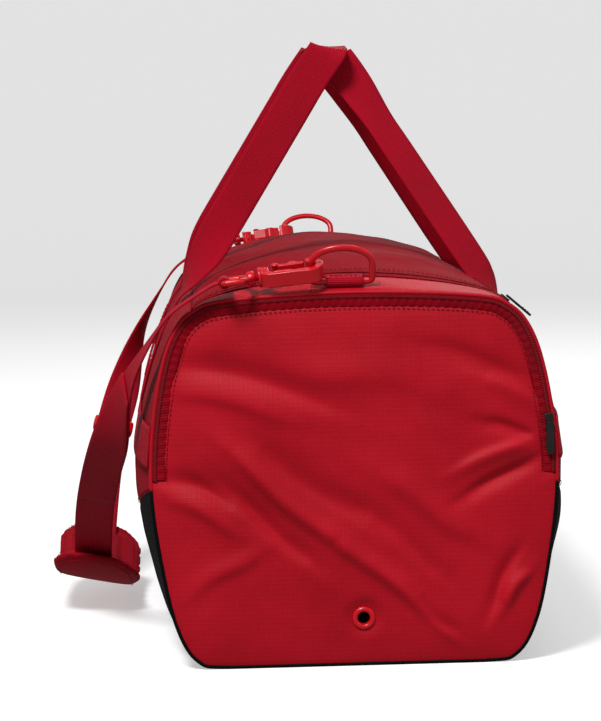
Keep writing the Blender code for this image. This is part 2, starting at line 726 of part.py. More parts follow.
def swivel_loops():
    """Loops that turn on the hooks' stems, each with a bar for the strap."""
    inner = WEB_WIDTH / 2 + LOOP_SLACK
    for name, end in ENDS:
        origin, u, v, n = loop_frame(end)
        wire = LOOP_WIRE / 2
        corners = [(-LOOP_WALL - wire, 0.0), (-LOOP_WALL - wire, 0.006), (-LOOP_WALL - wire - 0.002, 0.010),
                   (-LOOP_WALL - 0.011, inner + wire - 0.002), (-LOOP_WALL - 0.014, inner + wire),
                   (-LOOP_BAR + 0.003, inner + wire), (-LOOP_BAR + 0.0008, inner + wire - 0.0008),
                   (-LOOP_BAR, inner + wire - 0.003), (-LOOP_BAR, 0.0)]
        corners += [(a, -b) for a, b in reversed(corners[1:-1])]
        centres = [origin + u * a + v * b for a, b in corners]
        frames = []
        for k, centre in enumerate(centres):
            ahead = (centres[(k + 1) % len(centres)] - centres[k - 1]).normalized()
            frames.append((centre, ahead.cross(n), n))
        loop = add(name + "_swivel_loop", sweep(frames, circle(wire, 8), closed=True), GLOSS_RED, 0.25,
                   smooth=60)
        boss = cutter(name + "_swivel_boss", rod(origin - u * (LOOP_WALL - 0.001),
                                                 origin - u * (LOOP_WALL + LOOP_WIRE), 0.0062, 12))
        boolean(loop, boss, "UNION")
        bore = cutter(name + "_swivel_bore", rod(origin - u * (LOOP_WALL - 0.010),
                                                 origin - u * (LOOP_WALL + LOOP_WIRE + 0.010),
                                                 STEM_RADIUS + 0.0006, 10))
        boolean(loop, bore)


# ---------------------------------------------------------------- shoulder strap

def pad_arc(y, lift):
    """Point of the pad's middle line at y, raised by lift above its outer face."""
    radius = (PAD_HALF ** 2 + PAD_SAG ** 2) / (2 * PAD_SAG)
    angle = y / radius
    centre_z = PAD_BOTTOM + radius
    r = radius - lift
    return Vector((-END_WIDTH / 2 - PAD_STANDOFF, r * sin(angle), centre_z - r * cos(angle)))


def pad_frames(lift, half_length, count):
    """Frames along the pad, rolled about its middle line."""
    frames = []
    for y in spread(-half_length, half_length, count):
        centre = pad_arc(y, lift)
        ahead = (pad_arc(y + 0.001, lift) - pad_arc(y - 0.001, lift)).normalized()
        level = Vector((1, 0, 0))
        across = level * cos(PAD_ROLL) - ahead.cross(level) * sin(PAD_ROLL)
        up = -ahead.cross(across)
        frames.append((centre, across, up if up.z > 0 else -up))
    return frames


def strap_points():
    """Middle points and width directions of the strap's near half, from its bar to the pad."""
    bar = strap_bar(-1)
    y_axis = Vector((0, 1, 0))
    edge = -END_WIDTH / 2
    first = bar - Vector((LOOP_WIRE / 2 + EYE_SLACK + WEB_THICK / 2, 0, 0))
    return [(first, y_axis),
            (bar + Vector((-0.0115, 0, -0.0026)), y_axis),
            (Vector((edge + 0.0455, bar.y, 0.3440)), y_axis),
            (Vector((edge + 0.0225, bar.y + 0.008, 0.3270)), y_axis),
            (Vector((edge + 0.0035, bar.y + 0.028, 0.3000)), Vector((-0.05, 1, 0))),
            (Vector((edge - 0.0175, bar.y + 0.065, 0.2600)), Vector((-0.25, 1, 0))),
            (Vector((edge - 0.0365, -PAD_HALF - 0.160, 0.2050)), Vector((-0.75, 0.75, 0))),
            (Vector((edge - 0.0505, -PAD_HALF - 0.097, 0.1600)), Vector((-1, 0.25, 0.05))),
            (Vector((edge - 0.0595, -PAD_HALF - 0.040, 0.1170)), Vector((-1, 0.04, 0.14)))]


def strap():
    """The webbing loop with its pad, sleeve and adjuster, hung on the two swivel loops."""
    joint_empty("strap", Vector((strap_bar(-1).x, 0, strap_bar(-1).z)))
    near = strap_points()
    lift = PAD_THICK + 6 * GAP + WEB_THICK / 2
    rolled = pad_frames(lift, PAD_HALF * 0.9, 6)
    points = [p for p, _ in near] + [c for c, _, _ in rolled]
    widths = [w for _, w in near] + [-w for _, w, _ in rolled]
    points += [Vector((p.x, -p.y, p.z)) for p, _ in reversed(near)]
    widths += [Vector((w.x, -w.y, w.z)) for _, w in reversed(near)]
    frames = web_frames(points, widths, 3)
    web = add("shoulder_strap", sweep(frames, flat_section(WEB_WIDTH, WEB_THICK)), WEB_RED,
              body="strap")
    for name, end in ENDS:
        bar = strap_bar(end)
        ring = []
        inner = LOOP_WIRE / 2 + EYE_SLACK
        outer = inner + WEB_THICK * 0.9
        for k in range(14):
            angle = 2 * pi * k / 14
            ring.append((bar, Vector((cos(angle), 0, sin(angle))), Vector((0, 1, 0))))
        section = [(inner, -WEB_WIDTH / 2), (outer, -WEB_WIDTH / 2), (outer, WEB_WIDTH / 2),
                   (inner, WEB_WIDTH / 2)]
        boolean(web, cutter(name + "_strap_eye", sweep(ring, section, closed=True)), "UNION")
    round_edge = [(PAD_WIDTH / 2 * sx, PAD_THICK * h) for sx, h in
                  ((-0.94, 0.0), (-1.0, 0.28), (-1.0, 0.72), (-0.94, 1.0), (0, 1.0),
                   (0.94, 1.0), (1.0, 0.72), (1.0, 0.28), (0.94, 0.0), (0, 0.0))]
    add("shoulder_pad", sweep(pad_frames(0.0, PAD_HALF, 10), round_edge), RED, body="strap")
    top = WEB_THICK + 10 * GAP
    wall, half = 0.007, WEB_WIDTH / 2 + GAP * 3
    channel = [(-half - wall, 0), (-half, 0), (-half, top), (half, top), (half, 0), (half + wall, 0),
               (half + wall, top + 0.002), (-half - wall, top + 0.002)]
    add("pad_sleeve", sweep(pad_frames(PAD_THICK + GAP, PAD_HALF * 0.8, 8), channel), RED, body="strap")
    adjuster(frames)


def adjuster(frames):
    """The plastic slide that sets the strap's length, on its far half."""
    centre, across, up = frames[ADJUSTER_STATION]
    ahead = across.cross(up).normalized()
    bm = bmesh.new()
    wide, tall, long = WEB_WIDTH / 2 + 0.0015, WEB_THICK / 2 + 0.0020, 0.009
    rim = 0.0035
    rings = []
    corners = ((-1, wide + rim, tall + rim), (1, wide + rim, tall + rim), (1, wide, tall), (-1, wide, tall))
    for s, a, b in corners:
        rings.append([bm.verts.new(centre + ahead * (s * long) + across * (x * a) + up * (y * b))
                      for x, y in ((-1, -1), (1, -1), (1, 1), (-1, 1))])
    for one, two in zip(rings, rings[1:] + rings[:1]):
        for k in range(4):
            m = (k + 1) % 4
            bm.faces.new((one[k], one[m], two[m], two[k]))
    add("strap_adjuster", bm, GLOSS_RED, 0.3, body="strap")


# ---------------------------------------------------------------- zip sliders and pulls

def block(centre, x_dir, y_dir, z_dir, size):
    """A box with its own directions."""
    bm = bmesh.new()
    bmesh.ops.create_cube(bm, size=1.0)
    for vert in bm.verts:
        vert.co = (Vector(centre) + x_dir * (vert.co.x * size[0]) + y_dir * (vert.co.y * size[1])
                   + z_dir * (vert.co.z * size[2]))
    return bm


def slider_set(name, point, along, out, pull_dir):
    """A slider standing on the zip at a point, and its pull hanging from the slider's bridge."""
    across = along.cross(out).normalized()
    centre = point + out * (GAP + SLIDER_THICK / 2)
    joint_empty(name + "_slider", centre)
    plate_part = add(name + "_zip_slider",
                     block(centre, across, along, out, (SLIDER_WIDTH, SLIDER_LENGTH, SLIDER_THICK)),
                     BLACK, 0.3, body=name + "_slider")
    bevel(plate_part, 0.0006, 1)
    pivot = centre + out * (SLIDER_THICK / 2 + GAP + PULL_THICK / 2)
    joint_empty(name + "_pull", pivot)
    side = pull_dir.cross(out).normalized()
    lie = side.cross(pull_dir).normalized()
    lie = lie if lie.dot(out) > 0 else -lie
    bm = block(pivot + pull_dir * (PULL_LENGTH / 2), side, pull_dir, lie,
               (PULL_WIDTH, PULL_LENGTH, PULL_THICK))
    pull = add(name + "_zip_pull", bm, BLACK, 0.5, body=name + "_pull")
    bevel(pull, 0.0006, 1)


def sliders():
    """One slider on the lid's zip and one on each end's zip."""
    point = surface(ARC_LID, -LID_SLIDER_Y)
    above, below = surface(ARC_LID + 0.004, 0.0), surface(ARC_LID - 0.012, 0.0)
    slope = Vector((below.x - above.x, 0, below.z - above.z)).normalized()
    out = Vector((-slope.z, 0, slope.x)).normalized()
    rise = 0.0
    for y in spread(-LID_SLIDER_Y, LID_SLIDER_TRAVEL - LID_SLIDER_Y, 6):
        for aside in spread(-SLIDER_WIDTH / 2, SLIDER_WIDTH / 2, 6):
            spot = surface(ARC_LID + aside, y)
            rise = max(rise, (Vector((spot.x - point.x, 0, spot.z - point.z))).dot(out))
    slider_set("lid", point + out * rise, Vector((0, 1, 0)), out, slope)
    for name, end in ENDS:
        arc = arc_at_height(NEAR_SLIDER_Z)
        spot = surface(arc, HALF, -END_TAPE - GAP / 2)
        ahead = surface(arc + 0.010, HALF, -END_TAPE) - surface(arc - 0.010, HALF, -END_TAPE)
        along = Vector((ahead.x, 0, ahead.z)).normalized()
        slider_set(name, Vector((spot.x, end * HALF, spot.z)), along, Vector((0, end, 0)),
                   Vector((0, 0, -1)))


body_cloth()
lid()
end_cloth()
vents()
dividers()
side_webbing()
handles()
d_rings()
ring_tabs()
snap_hooks()
swivel_loops()
strap()
sliders()
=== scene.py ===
# %% [markdown]
# # A hockey equipment bag
#
# The bag is a soft duffel: smooth coated cloth at the ends, twill sides, a coarse woven lid, black
# cloth below, zips with moulded sliders, and webbing for the handles and the shoulder strap.
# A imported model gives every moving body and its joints. This lesson builds the looks around it:
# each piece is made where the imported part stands, then it rides on the part's body.

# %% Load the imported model
from math import cos, exp, pi, radians, sin

import bmesh
import bpy
import numpy as np
from mathutils import Matrix, Vector, noise


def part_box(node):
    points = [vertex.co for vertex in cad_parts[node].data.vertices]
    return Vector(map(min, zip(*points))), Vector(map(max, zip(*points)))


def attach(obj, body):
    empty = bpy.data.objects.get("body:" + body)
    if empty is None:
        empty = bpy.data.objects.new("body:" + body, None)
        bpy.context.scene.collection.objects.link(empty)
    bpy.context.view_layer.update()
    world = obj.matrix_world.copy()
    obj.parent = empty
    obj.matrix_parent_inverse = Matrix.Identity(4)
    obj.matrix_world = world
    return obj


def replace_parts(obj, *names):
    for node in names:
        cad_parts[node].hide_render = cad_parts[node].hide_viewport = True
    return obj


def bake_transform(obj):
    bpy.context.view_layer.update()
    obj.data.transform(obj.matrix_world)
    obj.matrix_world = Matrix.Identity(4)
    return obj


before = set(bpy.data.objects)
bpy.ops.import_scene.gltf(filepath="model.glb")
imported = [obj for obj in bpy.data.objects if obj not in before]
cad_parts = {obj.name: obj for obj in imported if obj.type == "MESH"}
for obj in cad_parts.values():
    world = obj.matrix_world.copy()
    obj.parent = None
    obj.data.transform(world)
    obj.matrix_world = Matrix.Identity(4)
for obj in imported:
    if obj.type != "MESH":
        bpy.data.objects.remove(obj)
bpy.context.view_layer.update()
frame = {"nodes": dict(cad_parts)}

# %% [markdown]
# ## The camera, the floor and the light
#
# The camera comes first, because it shows whether a shape is right. It looks at the bag's near end
# from a few paces away, so a long lens keeps the end nearly square. Soft light comes from large
# area lamps: a bright one in front and above, a weak one at the right and one behind, so folds show gently.

# %% Camera
EYE = Vector((-0.14, -3.06, 0.51))
LENS = 146.0
YAW, PITCH, ROLL = radians(2.00), radians(4.89), radians(1.2)

lens = bpy.data.cameras.new("camera")
lens.lens = LENS
lens.sensor_width = 36.0
camera = bpy.data.objects.new("camera", lens)
bpy.context.scene.collection.objects.link(camera)
camera.location = EYE
ahead = Vector((sin(YAW) * cos(PITCH), cos(YAW) * cos(PITCH), -sin(PITCH)))
turn = ahead.to_track_quat("-Z", "Y").to_matrix().to_4x4() @ Matrix.Rotation(-ROLL, 4, "Z")
camera.rotation_euler = turn.to_euler()
bpy.context.scene.camera = camera
bpy.context.scene.view_settings.view_transform = "Standard"
print("camera at", tuple(round(v, 2) for v in EYE))

# %% Floor and lamps
def lamp(name, place, target, size, power):
    """A square area lamp aimed at a point."""
    light = bpy.data.lights.new(name, "AREA")
    light.size = size
    light.energy = power
    made = bpy.data.objects.new(name, light)
    bpy.context.scene.collection.objects.link(made)
    made.location = place
    made.rotation_euler = (Vector(target) - Vector(place)).to_track_quat("-Z", "Y").to_euler()
    return made


lamp("key_lamp", (-0.9, -2.2, 2.9), (0, -0.3, 0.2), 0.8, 98)
lamp("right_lamp", (2.2, -1.4, 1.5), (0, 0, 0.25), 0.9, 5)
lamp("back_lamp", (0.6, 2.6, 2.4), (0, 0.2, 0.2), 1.2, 20)

world = bpy.data.worlds.new("studio")
bpy.context.scene.world = world
world.use_nodes = True
world.node_tree.nodes["Background"].inputs["Color"].default_value = (1.0, 1.0, 1.0, 1.0)
world.node_tree.nodes["Background"].inputs["Strength"].default_value = 0.30

# %% [markdown]
# ## Finishes
#
# Every finish is built from nodes. Woven pieces carry a map whose two directions are the cloth's
# own width and length in metres, so that one thread has its real size everywhere. The threads are
# sine waves of that map, and slow noise over them varies the dye, as handling and dust do.

# %% Helpers for the node trees
def new_finish(name, roughness, metallic=0.0):
    """A material with its Principled shader, ready for nodes."""
    made = bpy.data.materials.new(name + "_finish")
    made.use_nodes = True
    made["slot"] = name
    shader = made.node_tree.nodes["Principled BSDF"]
    shader.inputs["Roughness"].default_value = roughness
    shader.inputs["Metallic"].default_value = metallic
    return made, made.node_tree, shader


def maths(tree, operation, a, b=0.0, c=None):
    """A Math node on sockets or numbers; returns its output."""
    made = tree.nodes.new("ShaderNodeMath")
    made.operation = operation
    for slot_index, value in enumerate((a, b) if c is None else (a, b, c)):
        if isinstance(value, (int, float)):
            made.inputs[slot_index].default_value = value
        else:
            tree.links.new(value, made.inputs[slot_index])
    return made.outputs[0]


def cloudy(tree, scale, detail=4.0):
    """Slow noise over the piece in its own space; returns a value from about 0.3 to 0.7."""
    place = tree.nodes.new("ShaderNodeTexCoord")
    made = tree.nodes.new("ShaderNodeTexNoise")
    made.inputs["Scale"].default_value = scale
    made.inputs["Detail"].default_value = detail
    tree.links.new(place.outputs["Object"], made.inputs["Vector"])
    return made.outputs["Fac"]


def thread_map(tree):
    """The cloth's own width and length in millimetres, as two values."""
    place = tree.nodes.new("ShaderNodeUVMap")
    place.uv_map = "cloth"
    split = tree.nodes.new("ShaderNodeSeparateXYZ")
    tree.links.new(place.outputs["UV"], split.inputs[0])
    return [maths(tree, "MULTIPLY", split.outputs[k], 1000.0) for k in (0, 1)]


def wave(tree, value, period):
    """A sine of a value in millimetres, with a period in millimetres."""
    return maths(tree, "SINE", maths(tree, "MULTIPLY", value, 2 * pi / period))


def dyed(tree, shader, shade, dark, light):
    """Colours the shader between two dyes by a value from 0 to 1."""
    ramp = tree.nodes.new("ShaderNodeValToRGB")
    ramp.color_ramp.elements[0].position = 0.25
    ramp.color_ramp.elements[1].position = 0.75
    ramp.color_ramp.elements[0].color = (*dark, 1.0)
    ramp.color_ramp.elements[1].color = (*light, 1.0)
    tree.links.new(shade, ramp.inputs[0])
    tree.links.new(ramp.outputs[0], shader.inputs["Base Color"])


def raised(tree, shader, height, depth, strength=1.0):
    """Bumps the surface by a height value whose full range is a depth in metres."""
    bump = tree.nodes.new("ShaderNodeBump")
    bump.inputs["Strength"].default_value = strength
    bump.inputs["Distance"].default_value = depth
    tree.links.new(height, bump.inputs["Height"])
    tree.links.new(bump.outputs[0], shader.inputs["Normal"])


def roughened(tree, shader, shade, low, high):
    """Varies the roughness between two values."""
    spread_of = tree.nodes.new("ShaderNodeMapRange")
    spread_of.inputs["From Min"].default_value = 0.3
    spread_of.inputs["From Max"].default_value = 0.7
    spread_of.inputs["To Min"].default_value = low
    spread_of.inputs["To Max"].default_value = high
    tree.links.new(shade, spread_of.inputs["Value"])
    tree.links.new(spread_of.outputs[0], shader.inputs["Roughness"])

# %% Woven finishes
def woven(name, weave, dark, light, depth, rough, sheen=0.1, gloss=0.08, dust=14.0):
    """Cloth whose threads follow its map; weave(tree, u, v) returns their height, about -1 to 1."""
    made, tree, shader = new_finish(name, rough[0])
    u, v = thread_map(tree)
    threads = weave(tree, u, v)
    slow, fine = cloudy(tree, dust), cloudy(tree, 420.0, 2.0)
    shade = maths(tree, "ADD", maths(tree, "MULTIPLY", threads, 0.09), slow)
    shade = maths(tree, "ADD", shade, maths(tree, "MULTIPLY", maths(tree, "SUBTRACT", fine, 0.5), 0.5))
    dyed(tree, shader, shade, dark, light)
    roughened(tree, shader, slow, *rough)
    raised(tree, shader, maths(tree, "ADD", threads, maths(tree, "MULTIPLY", fine, 0.6)), depth)
    shader.inputs["Sheen Weight"].default_value = sheen
    shader.inputs["Sheen Tint"].default_value = (0.9, 0.15, 0.2, 1.0)
    shader.inputs["Specular IOR Level"].default_value = gloss
    shader.inputs["Sheen Roughness"].default_value = 0.4
    return made


def ripstop(tree, u, v):
    """A very fine plain weave with a slightly thicker thread every few millimetres."""
    fine = maths(tree, "MULTIPLY", wave(tree, u, 0.8), wave(tree, v, 0.8))
    thick = [maths(tree, "POWER", maths(tree, "ABSOLUTE", wave(tree, w, 9.0)), 14.0) for w in (u, v)]
    return maths(tree, "ADD", maths(tree, "MULTIPLY", fine, 0.5), maths(tree, "MAXIMUM", *thick))


def twill(tree, u, v):
    """Diagonal ribs."""
    return wave(tree, maths(tree, "ADD", u, v), 1.3)


def basket(tree, u, v):
    """A coarse plain weave: threads pass over and under in turn."""
    return maths(tree, "MULTIPLY", wave(tree, u, 2.6), wave(tree, v, 2.6))


def ribs(tree, u, v):
    """Webbing: fine cross ribs, crossed by the columns of its long threads."""
    rib, column = wave(tree, v, 1.5), wave(tree, u, 1.6)
    return maths(tree, "ADD", maths(tree, "MULTIPLY", rib, 0.7), maths(tree, "MULTIPLY", column, 0.6))


def ladder(tree, u, v):
    """Zip tape: fine cross ribs."""
    return wave(tree, v, 1.5)


COATED_RED = woven("coated_red_cloth", ripstop, (0.40, 0.0006, 0.0090), (0.52, 0.0016, 0.0140), 0.00006,
                   (0.46, 0.58), sheen=0.04, gloss=0.2)
TWILL_RED = woven("red_twill", twill, (0.29, 0.0003, 0.0080), (0.36, 0.0008, 0.0110), 0.00014, (0.6, 0.75))
COARSE_RED = woven("coarse_red_weave", basket, (0.27, 0.0003, 0.0070), (0.36, 0.0010, 0.0100), 0.00030,
                   (0.6, 0.8))
BLACK_CLOTH = woven("black_cloth", twill, (0.0018, 0.0018, 0.0018), (0.0036, 0.0034, 0.0032), 0.00012,
                    (0.6, 0.75), sheen=0.0)
TAPE_RED = woven("red_zip_tape", ladder, (0.22, 0.0003, 0.006), (0.34, 0.0008, 0.009), 0.00022,
                 (0.6, 0.75))
WEBBING_RED = woven("red_webbing", ribs, (0.37, 0.0003, 0.0120), (0.48, 0.0008, 0.0180), 0.00026,
                    (0.5, 0.65), sheen=0.06, gloss=0.12)
PAD_RED = woven("red_pad_cloth", twill, (0.32, 0.0005, 0.0090), (0.42, 0.0012, 0.0130), 0.00014,
                (0.55, 0.7))
print("woven finishes: 7")

# %% Moulded finishes
def moulded(name, dark, light, rough, coat=0.0, bump=0.00004, scale=900.0):
    """Moulded plastic: a fine skin, a little colour change, and rubbed patches of other gloss."""
    made, tree, shader = new_finish(name, rough[0])
    slow, skin = cloudy(tree, 35.0), cloudy(tree, scale, 2.0)
    dyed(tree, shader, slow, dark, light)
    roughened(tree, shader, slow, *rough)
    raised(tree, shader, skin, bump, 0.5)
    shader.inputs["Coat Weight"].default_value = coat
    shader.inputs["Coat Roughness"].default_value = 0.12
    return made


GLOSS_RED = moulded("moulded_red", (0.55, 0.002, 0.009), (0.66, 0.004, 0.013), (0.22, 0.32), coat=0.12)
GLOSS_RED.node_tree.nodes["Principled BSDF"].inputs["Specular IOR Level"].default_value = 0.35
TOOTH_RED = moulded("red_zip_tape", (0.20, 0.0003, 0.005), (0.27, 0.0006, 0.008), (0.5, 0.65))
TOOTH_RED.node_tree.nodes["Principled BSDF"].inputs["Specular IOR Level"].default_value = 0.25
BLACK_PLASTIC = moulded("black_pull", (0.004, 0.004, 0.004), (0.009, 0.009, 0.009), (0.28, 0.42))
BLACK_BOARD = moulded("black_board", (0.006, 0.006, 0.006), (0.014, 0.014, 0.014), (0.5, 0.7),
                      bump=0.00015, scale=260.0)
PALE_FLOOR = moulded("pale_floor", (0.90, 0.90, 0.90), (0.92, 0.92, 0.92), (0.85, 0.95), bump=0.00002)

# The floor is a wide disc that curves up into a wall all round, so no edge shows from any side.
rim = [(0.0, 0.0)] + [(r, 0.0) for r in (1.0, 3.0, 5.0)]
rim += [(5.0 + 2.5 * sin(t * pi / 16), 2.5 * (1 - cos(t * pi / 16))) for t in range(1, 9)] + [(7.5, 4.5)]
verts = [(r * cos(k * pi / 36), r * sin(k * pi / 36), z - 0.0005) for r, z in rim for k in range(72)]
faces = [(i * 72 + k, i * 72 + (k + 1) % 72, (i + 1) * 72 + (k + 1) % 72, (i + 1) * 72 + k)
         for i in range(len(rim) - 1) for k in range(72)]
PALE_FLOOR.node_tree.nodes["Principled BSDF"].inputs["Emission Color"].default_value = (1, 1, 1, 1)
PALE_FLOOR.node_tree.nodes["Principled BSDF"].inputs["Emission Strength"].default_value = 0.42
floor_mesh = bpy.data.meshes.new("floor")
floor_mesh.from_pydata(verts, [], faces)
floor_mesh.shade_smooth()
floor_mesh.materials.append(PALE_FLOOR)
floor = bpy.data.objects.new("floor", floor_mesh)
# The floor doesn't throw its own white back onto the cloth, which would bleach the reds.
floor.visible_diffuse = False
floor.visible_glossy = False
bpy.context.scene.collection.objects.link(floor)
print("moulded finishes: 5, and the floor")

# %% [markdown]
# ## The bag's surface as one formula
#
# Nearly every piece of this bag lies on one surface: an upright rounded outline that runs along the
# bag and swells between its ends. Written once, it places cloth, webbing, tapes and stitches
# alike. A point is named by two lengths: how far it is round the outline, and how far along.

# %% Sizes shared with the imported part
BAG_LENGTH, END_WIDTH, END_HEIGHT = 0.810, 0.375, 0.345
SIDE_BULGE, CROWN = 0.019, 0.028
SIDE_FADE, CROWN_FADE = 0.080, 0.060
WEB_WIDTH, WEB_THICK = 0.038, 0.0020
ZIP_TAPE, END_TAPE = 0.009, 0.005
BOTTOM_FLAT = 0.105
BLACK_TOP_END, BLACK_TOP_MID = 0.166, 0.105
LID_EDGE_X, LID_MARGIN = 0.146, 0.043
POCKET_DEPTH = 0.075
FLAP_HINGE_Z, BAND_Z = 0.175, 0.206
HANDLE_Y, HANDLE_BASE_Z = 0.135, 0.306
HALF = BAG_LENGTH / 2
ENDS = (("near", -1), ("far", 1))
SIDES = (("left", -1), ("right", 1))
OUTLINE = [(0.000, 0.000), (0.620, 0.000), (0.790, 0.020), (0.893, 0.120), (0.962, 0.300),
           (0.998, 0.470), (0.990, 0.620), (0.945, 0.780), (0.880, 0.890), (0.780, 0.955),
           (0.600, 0.985), (0.000, 1.000)]

# %% The outline and the swelling surface
def smooth_outline():
    """Dense points of the outline's right half, through its corner points, and their arc length."""
    corners = [(x * END_WIDTH / 2, z * END_HEIGHT) for x, z in OUTLINE]
    row = [(-corners[1][0], corners[1][1])] + corners + [(-corners[-2][0], corners[-2][1])]
    points = []
    for a, b, c, d in zip(row, row[1:], row[2:], row[3:]):
        a, b, c, d = (Vector(p) for p in (a, b, c, d))
        for k in range(16):
            t = k / 16
            points.append(0.5 * (2 * b + (c - a) * t + (2 * a - 5 * b + 4 * c - d) * t * t
                                 + (3 * b - a - 3 * c + d) * t ** 3))
    points.append(Vector(corners[-1]))
    for point in points:
        point.y = max(point.y, 0.0)
    lengths = np.cumsum([0.0] + [(q - p).length for p, q in zip(points, points[1:])])
    return np.array([p.x for p in points]), np.array([p.y for p in points]), lengths


OUT_X, OUT_Z, OUT_A = smooth_outline()
GIRTH = float(OUT_A[-1])


def arc_at_height(z):
    """Arc length from the bottom's centre to height z on the side."""
    side = OUT_Z >= 0.001
    return float(np.interp(z, OUT_Z[side], OUT_A[side]))


def arc_at_top_x(x):
    """Arc length from the bottom's centre to a point of the top at distance x from the middle."""
    top = OUT_Z > END_HEIGHT * 0.7
    return float(np.interp(-x, -OUT_X[top], OUT_A[top]))


ARC_FLAT = float(np.interp(BOTTOM_FLAT, OUT_X[:30], OUT_A[:30]))
ARC_LID = arc_at_top_x(LID_EDGE_X)
ARC_SIDE_END = ARC_LID - 0.010


def swell(y, fade):
    """How far the cloth has swollen at y: 0 at both ends and nearly 1 in the middle."""
    near, far = max(y + HALF, 0.0), max(HALF - y, 0.0)
    return (1 - exp(-near / fade)) * (1 - exp(-far / fade))


def profile(arc, y):
    """Point (x, z) of the body's outside at an arc length and a place along the bag."""
    arc = arc if arc <= 2 * GIRTH else arc - 2 * GIRTH
    mirrored = arc < 0 or arc > GIRTH
    half = -arc if arc < 0 else (2 * GIRTH - arc if arc > GIRTH else arc)
    x = float(np.interp(half, OUT_A, OUT_X))
    z = float(np.interp(half, OUT_A, OUT_Z))
    if ARC_FLAT < half < ARC_SIDE_END:
        t = (half - ARC_FLAT) / (ARC_SIDE_END - ARC_FLAT)
        x += SIDE_BULGE * sin(pi * t) ** 1.5 * swell(y, SIDE_FADE)
    if half > ARC_LID:
        z += CROWN * (1 - (x / LID_EDGE_X) ** 2) * swell(y, CROWN_FADE)
    return (-x if mirrored else x), z


def surface(arc, y, out=0.0):
    """Point of the body's surface, moved out along its outward direction."""
    x, z = profile(arc, y)
    ax, az = profile(arc - 0.002, y)
    bx, bz = profile(arc + 0.002, y)
    along = Vector((bx - ax, bz - az)).normalized()
    return Vector((x + along.y * out, y, z - along.x * out))


def left(arc):
    """The arc of the mirrored point on the left side."""
    return 2 * GIRTH - arc


def spread(start, stop, count):
    """Evenly spaced values from start to stop, both included."""
    return [start + (stop - start) * k / count for k in range(count + 1)]


print("girth", round(2 * GIRTH, 3), "m")

# %% [markdown]
# ## Tools for sheets, webbing and small repeated parts
#
# Three builders cover the soft pieces. A sheet is a grid of points with a little thickness. A
# ribbon sweeps a flat rounded section along a path, for webbing. Beads are many tiny rounded rods
# in one mesh, for zip teeth and stitches, which would be slow as separate objects.

# %% Making and placing a piece
def place(name, verts, faces, finish, body, replaces=(), uvs=None, thick=0.0, away_from=None):
    """Makes a smooth piece with its finish and map, and lets it ride on a body."""
    mesh = bpy.data.meshes.new(name)
    mesh.from_pydata([tuple(v) for v in verts], [], faces)
    mesh.materials.append(finish)
    if uvs is not None:
        layer = mesh.uv_layers.new(name="cloth")
        corner_verts = np.empty(len(mesh.loops), int)
        mesh.loops.foreach_get("vertex_index", corner_verts)
        layer.data.foreach_set("uv", np.asarray(uvs, float)[corner_verts].ravel())
    mesh.update()
    if away_from is not None:
        side = sum((p.center - Vector(away_from)).dot(p.normal) * p.area for p in mesh.polygons)
        if side < 0:
            mesh.flip_normals()
    else:
        bm = bmesh.new()
        bm.from_mesh(mesh)
        bmesh.ops.recalc_face_normals(bm, faces=bm.faces)
        bm.to_mesh(mesh)
        bm.free()
    mesh.shade_smooth()
    made = bpy.data.objects.new(name, mesh)
    bpy.context.scene.collection.objects.link(made)
    if thick:
        cloth = made.modifiers.new("thickness", "SOLIDIFY")
        cloth.thickness = thick
        cloth.offset = -1.0
    if body:
        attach(made, body)
    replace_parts(made, *replaces) if replaces else None
    return made


def middle_of(node):
    """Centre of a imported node's box."""
    low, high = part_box(node)
    return (low + high) / 2


def grid_faces(rows, columns, start=0):
    """Quads of a grid of points stored row by row."""
    faces = []
    for i in range(rows - 1):
        for j in range(columns - 1):
            a = start + i * columns + j
            faces.append((a, a + 1, a + columns + 1, a + columns))
    return faces


def sheet(name, rows, uv_rows, finish, body, replaces=(), thick=0.0012, away_from=(0, 0, 0.17)):
    """A sheet of cloth through a grid of points."""
    verts = [p for row in rows for p in row]
    uvs = [uv for row in uv_rows for uv in row]
    return place(name, verts, grid_faces(len(rows), len(rows[0])), finish, body, replaces, uvs,
                 thick, away_from)

# %% Ribbons of webbing
def curve_through(points, steps):
    """Points of a smooth curve through the given ones."""
    row = [2 * points[0] - points[1]] + list(points) + [2 * points[-1] - points[-2]]
    made = []
    for a, b, c, d in zip(row, row[1:], row[2:], row[3:]):
        for k in range(steps):
            t = k / steps
            made.append(0.5 * (2 * b + (c - a) * t + (2 * a - 5 * b + 4 * c - d) * t * t
                               + (3 * b - a - 3 * c + d) * t ** 3))
    return made + [points[-1].copy()]


def web_frames(points, widths, steps):
    """Frames (centre, across, up) along a smooth curve; the width turns smoothly with it."""
    centres = curve_through([Vector(p) for p in points], steps)
    across = curve_through([Vector(w).normalized() for w in widths], steps)
    frames = []
    for k, centre in enumerate(centres):
        along = (centres[min(k + 1, len(centres) - 1)] - centres[max(k - 1, 0)]).normalized()
        w = (across[k] - along * across[k].dot(along)).normalized()
        frames.append((centre, w, along.cross(w)))
    return frames


def sweep(frames, section, closed=False, start=0):
    """Points, faces and map of a closed (across, up) section swept along frames."""
    count = len(section)
    verts, uvs, length = [], [], 0.0
    for k, (centre, w, n) in enumerate(frames):
        if k:
            length += (centre - frames[k - 1][0]).length
        verts += [centre + w * u + n * v for u, v in section]
        uvs += [(u, length) for u, _ in section]
    faces = []
    last = len(frames) if closed else len(frames) - 1
    for k in range(last):
        a, b = start + k * count, start + ((k + 1) % len(frames)) * count
        faces += [(a + m, a + (m + 1) % count, b + (m + 1) % count, b + m) for m in range(count)]
    if not closed:
        faces.append(tuple(range(start, start + count)))
        faces.append(tuple(range(start + (len(frames) - 1) * count, start + len(frames) * count)))
    return verts, faces, uvs


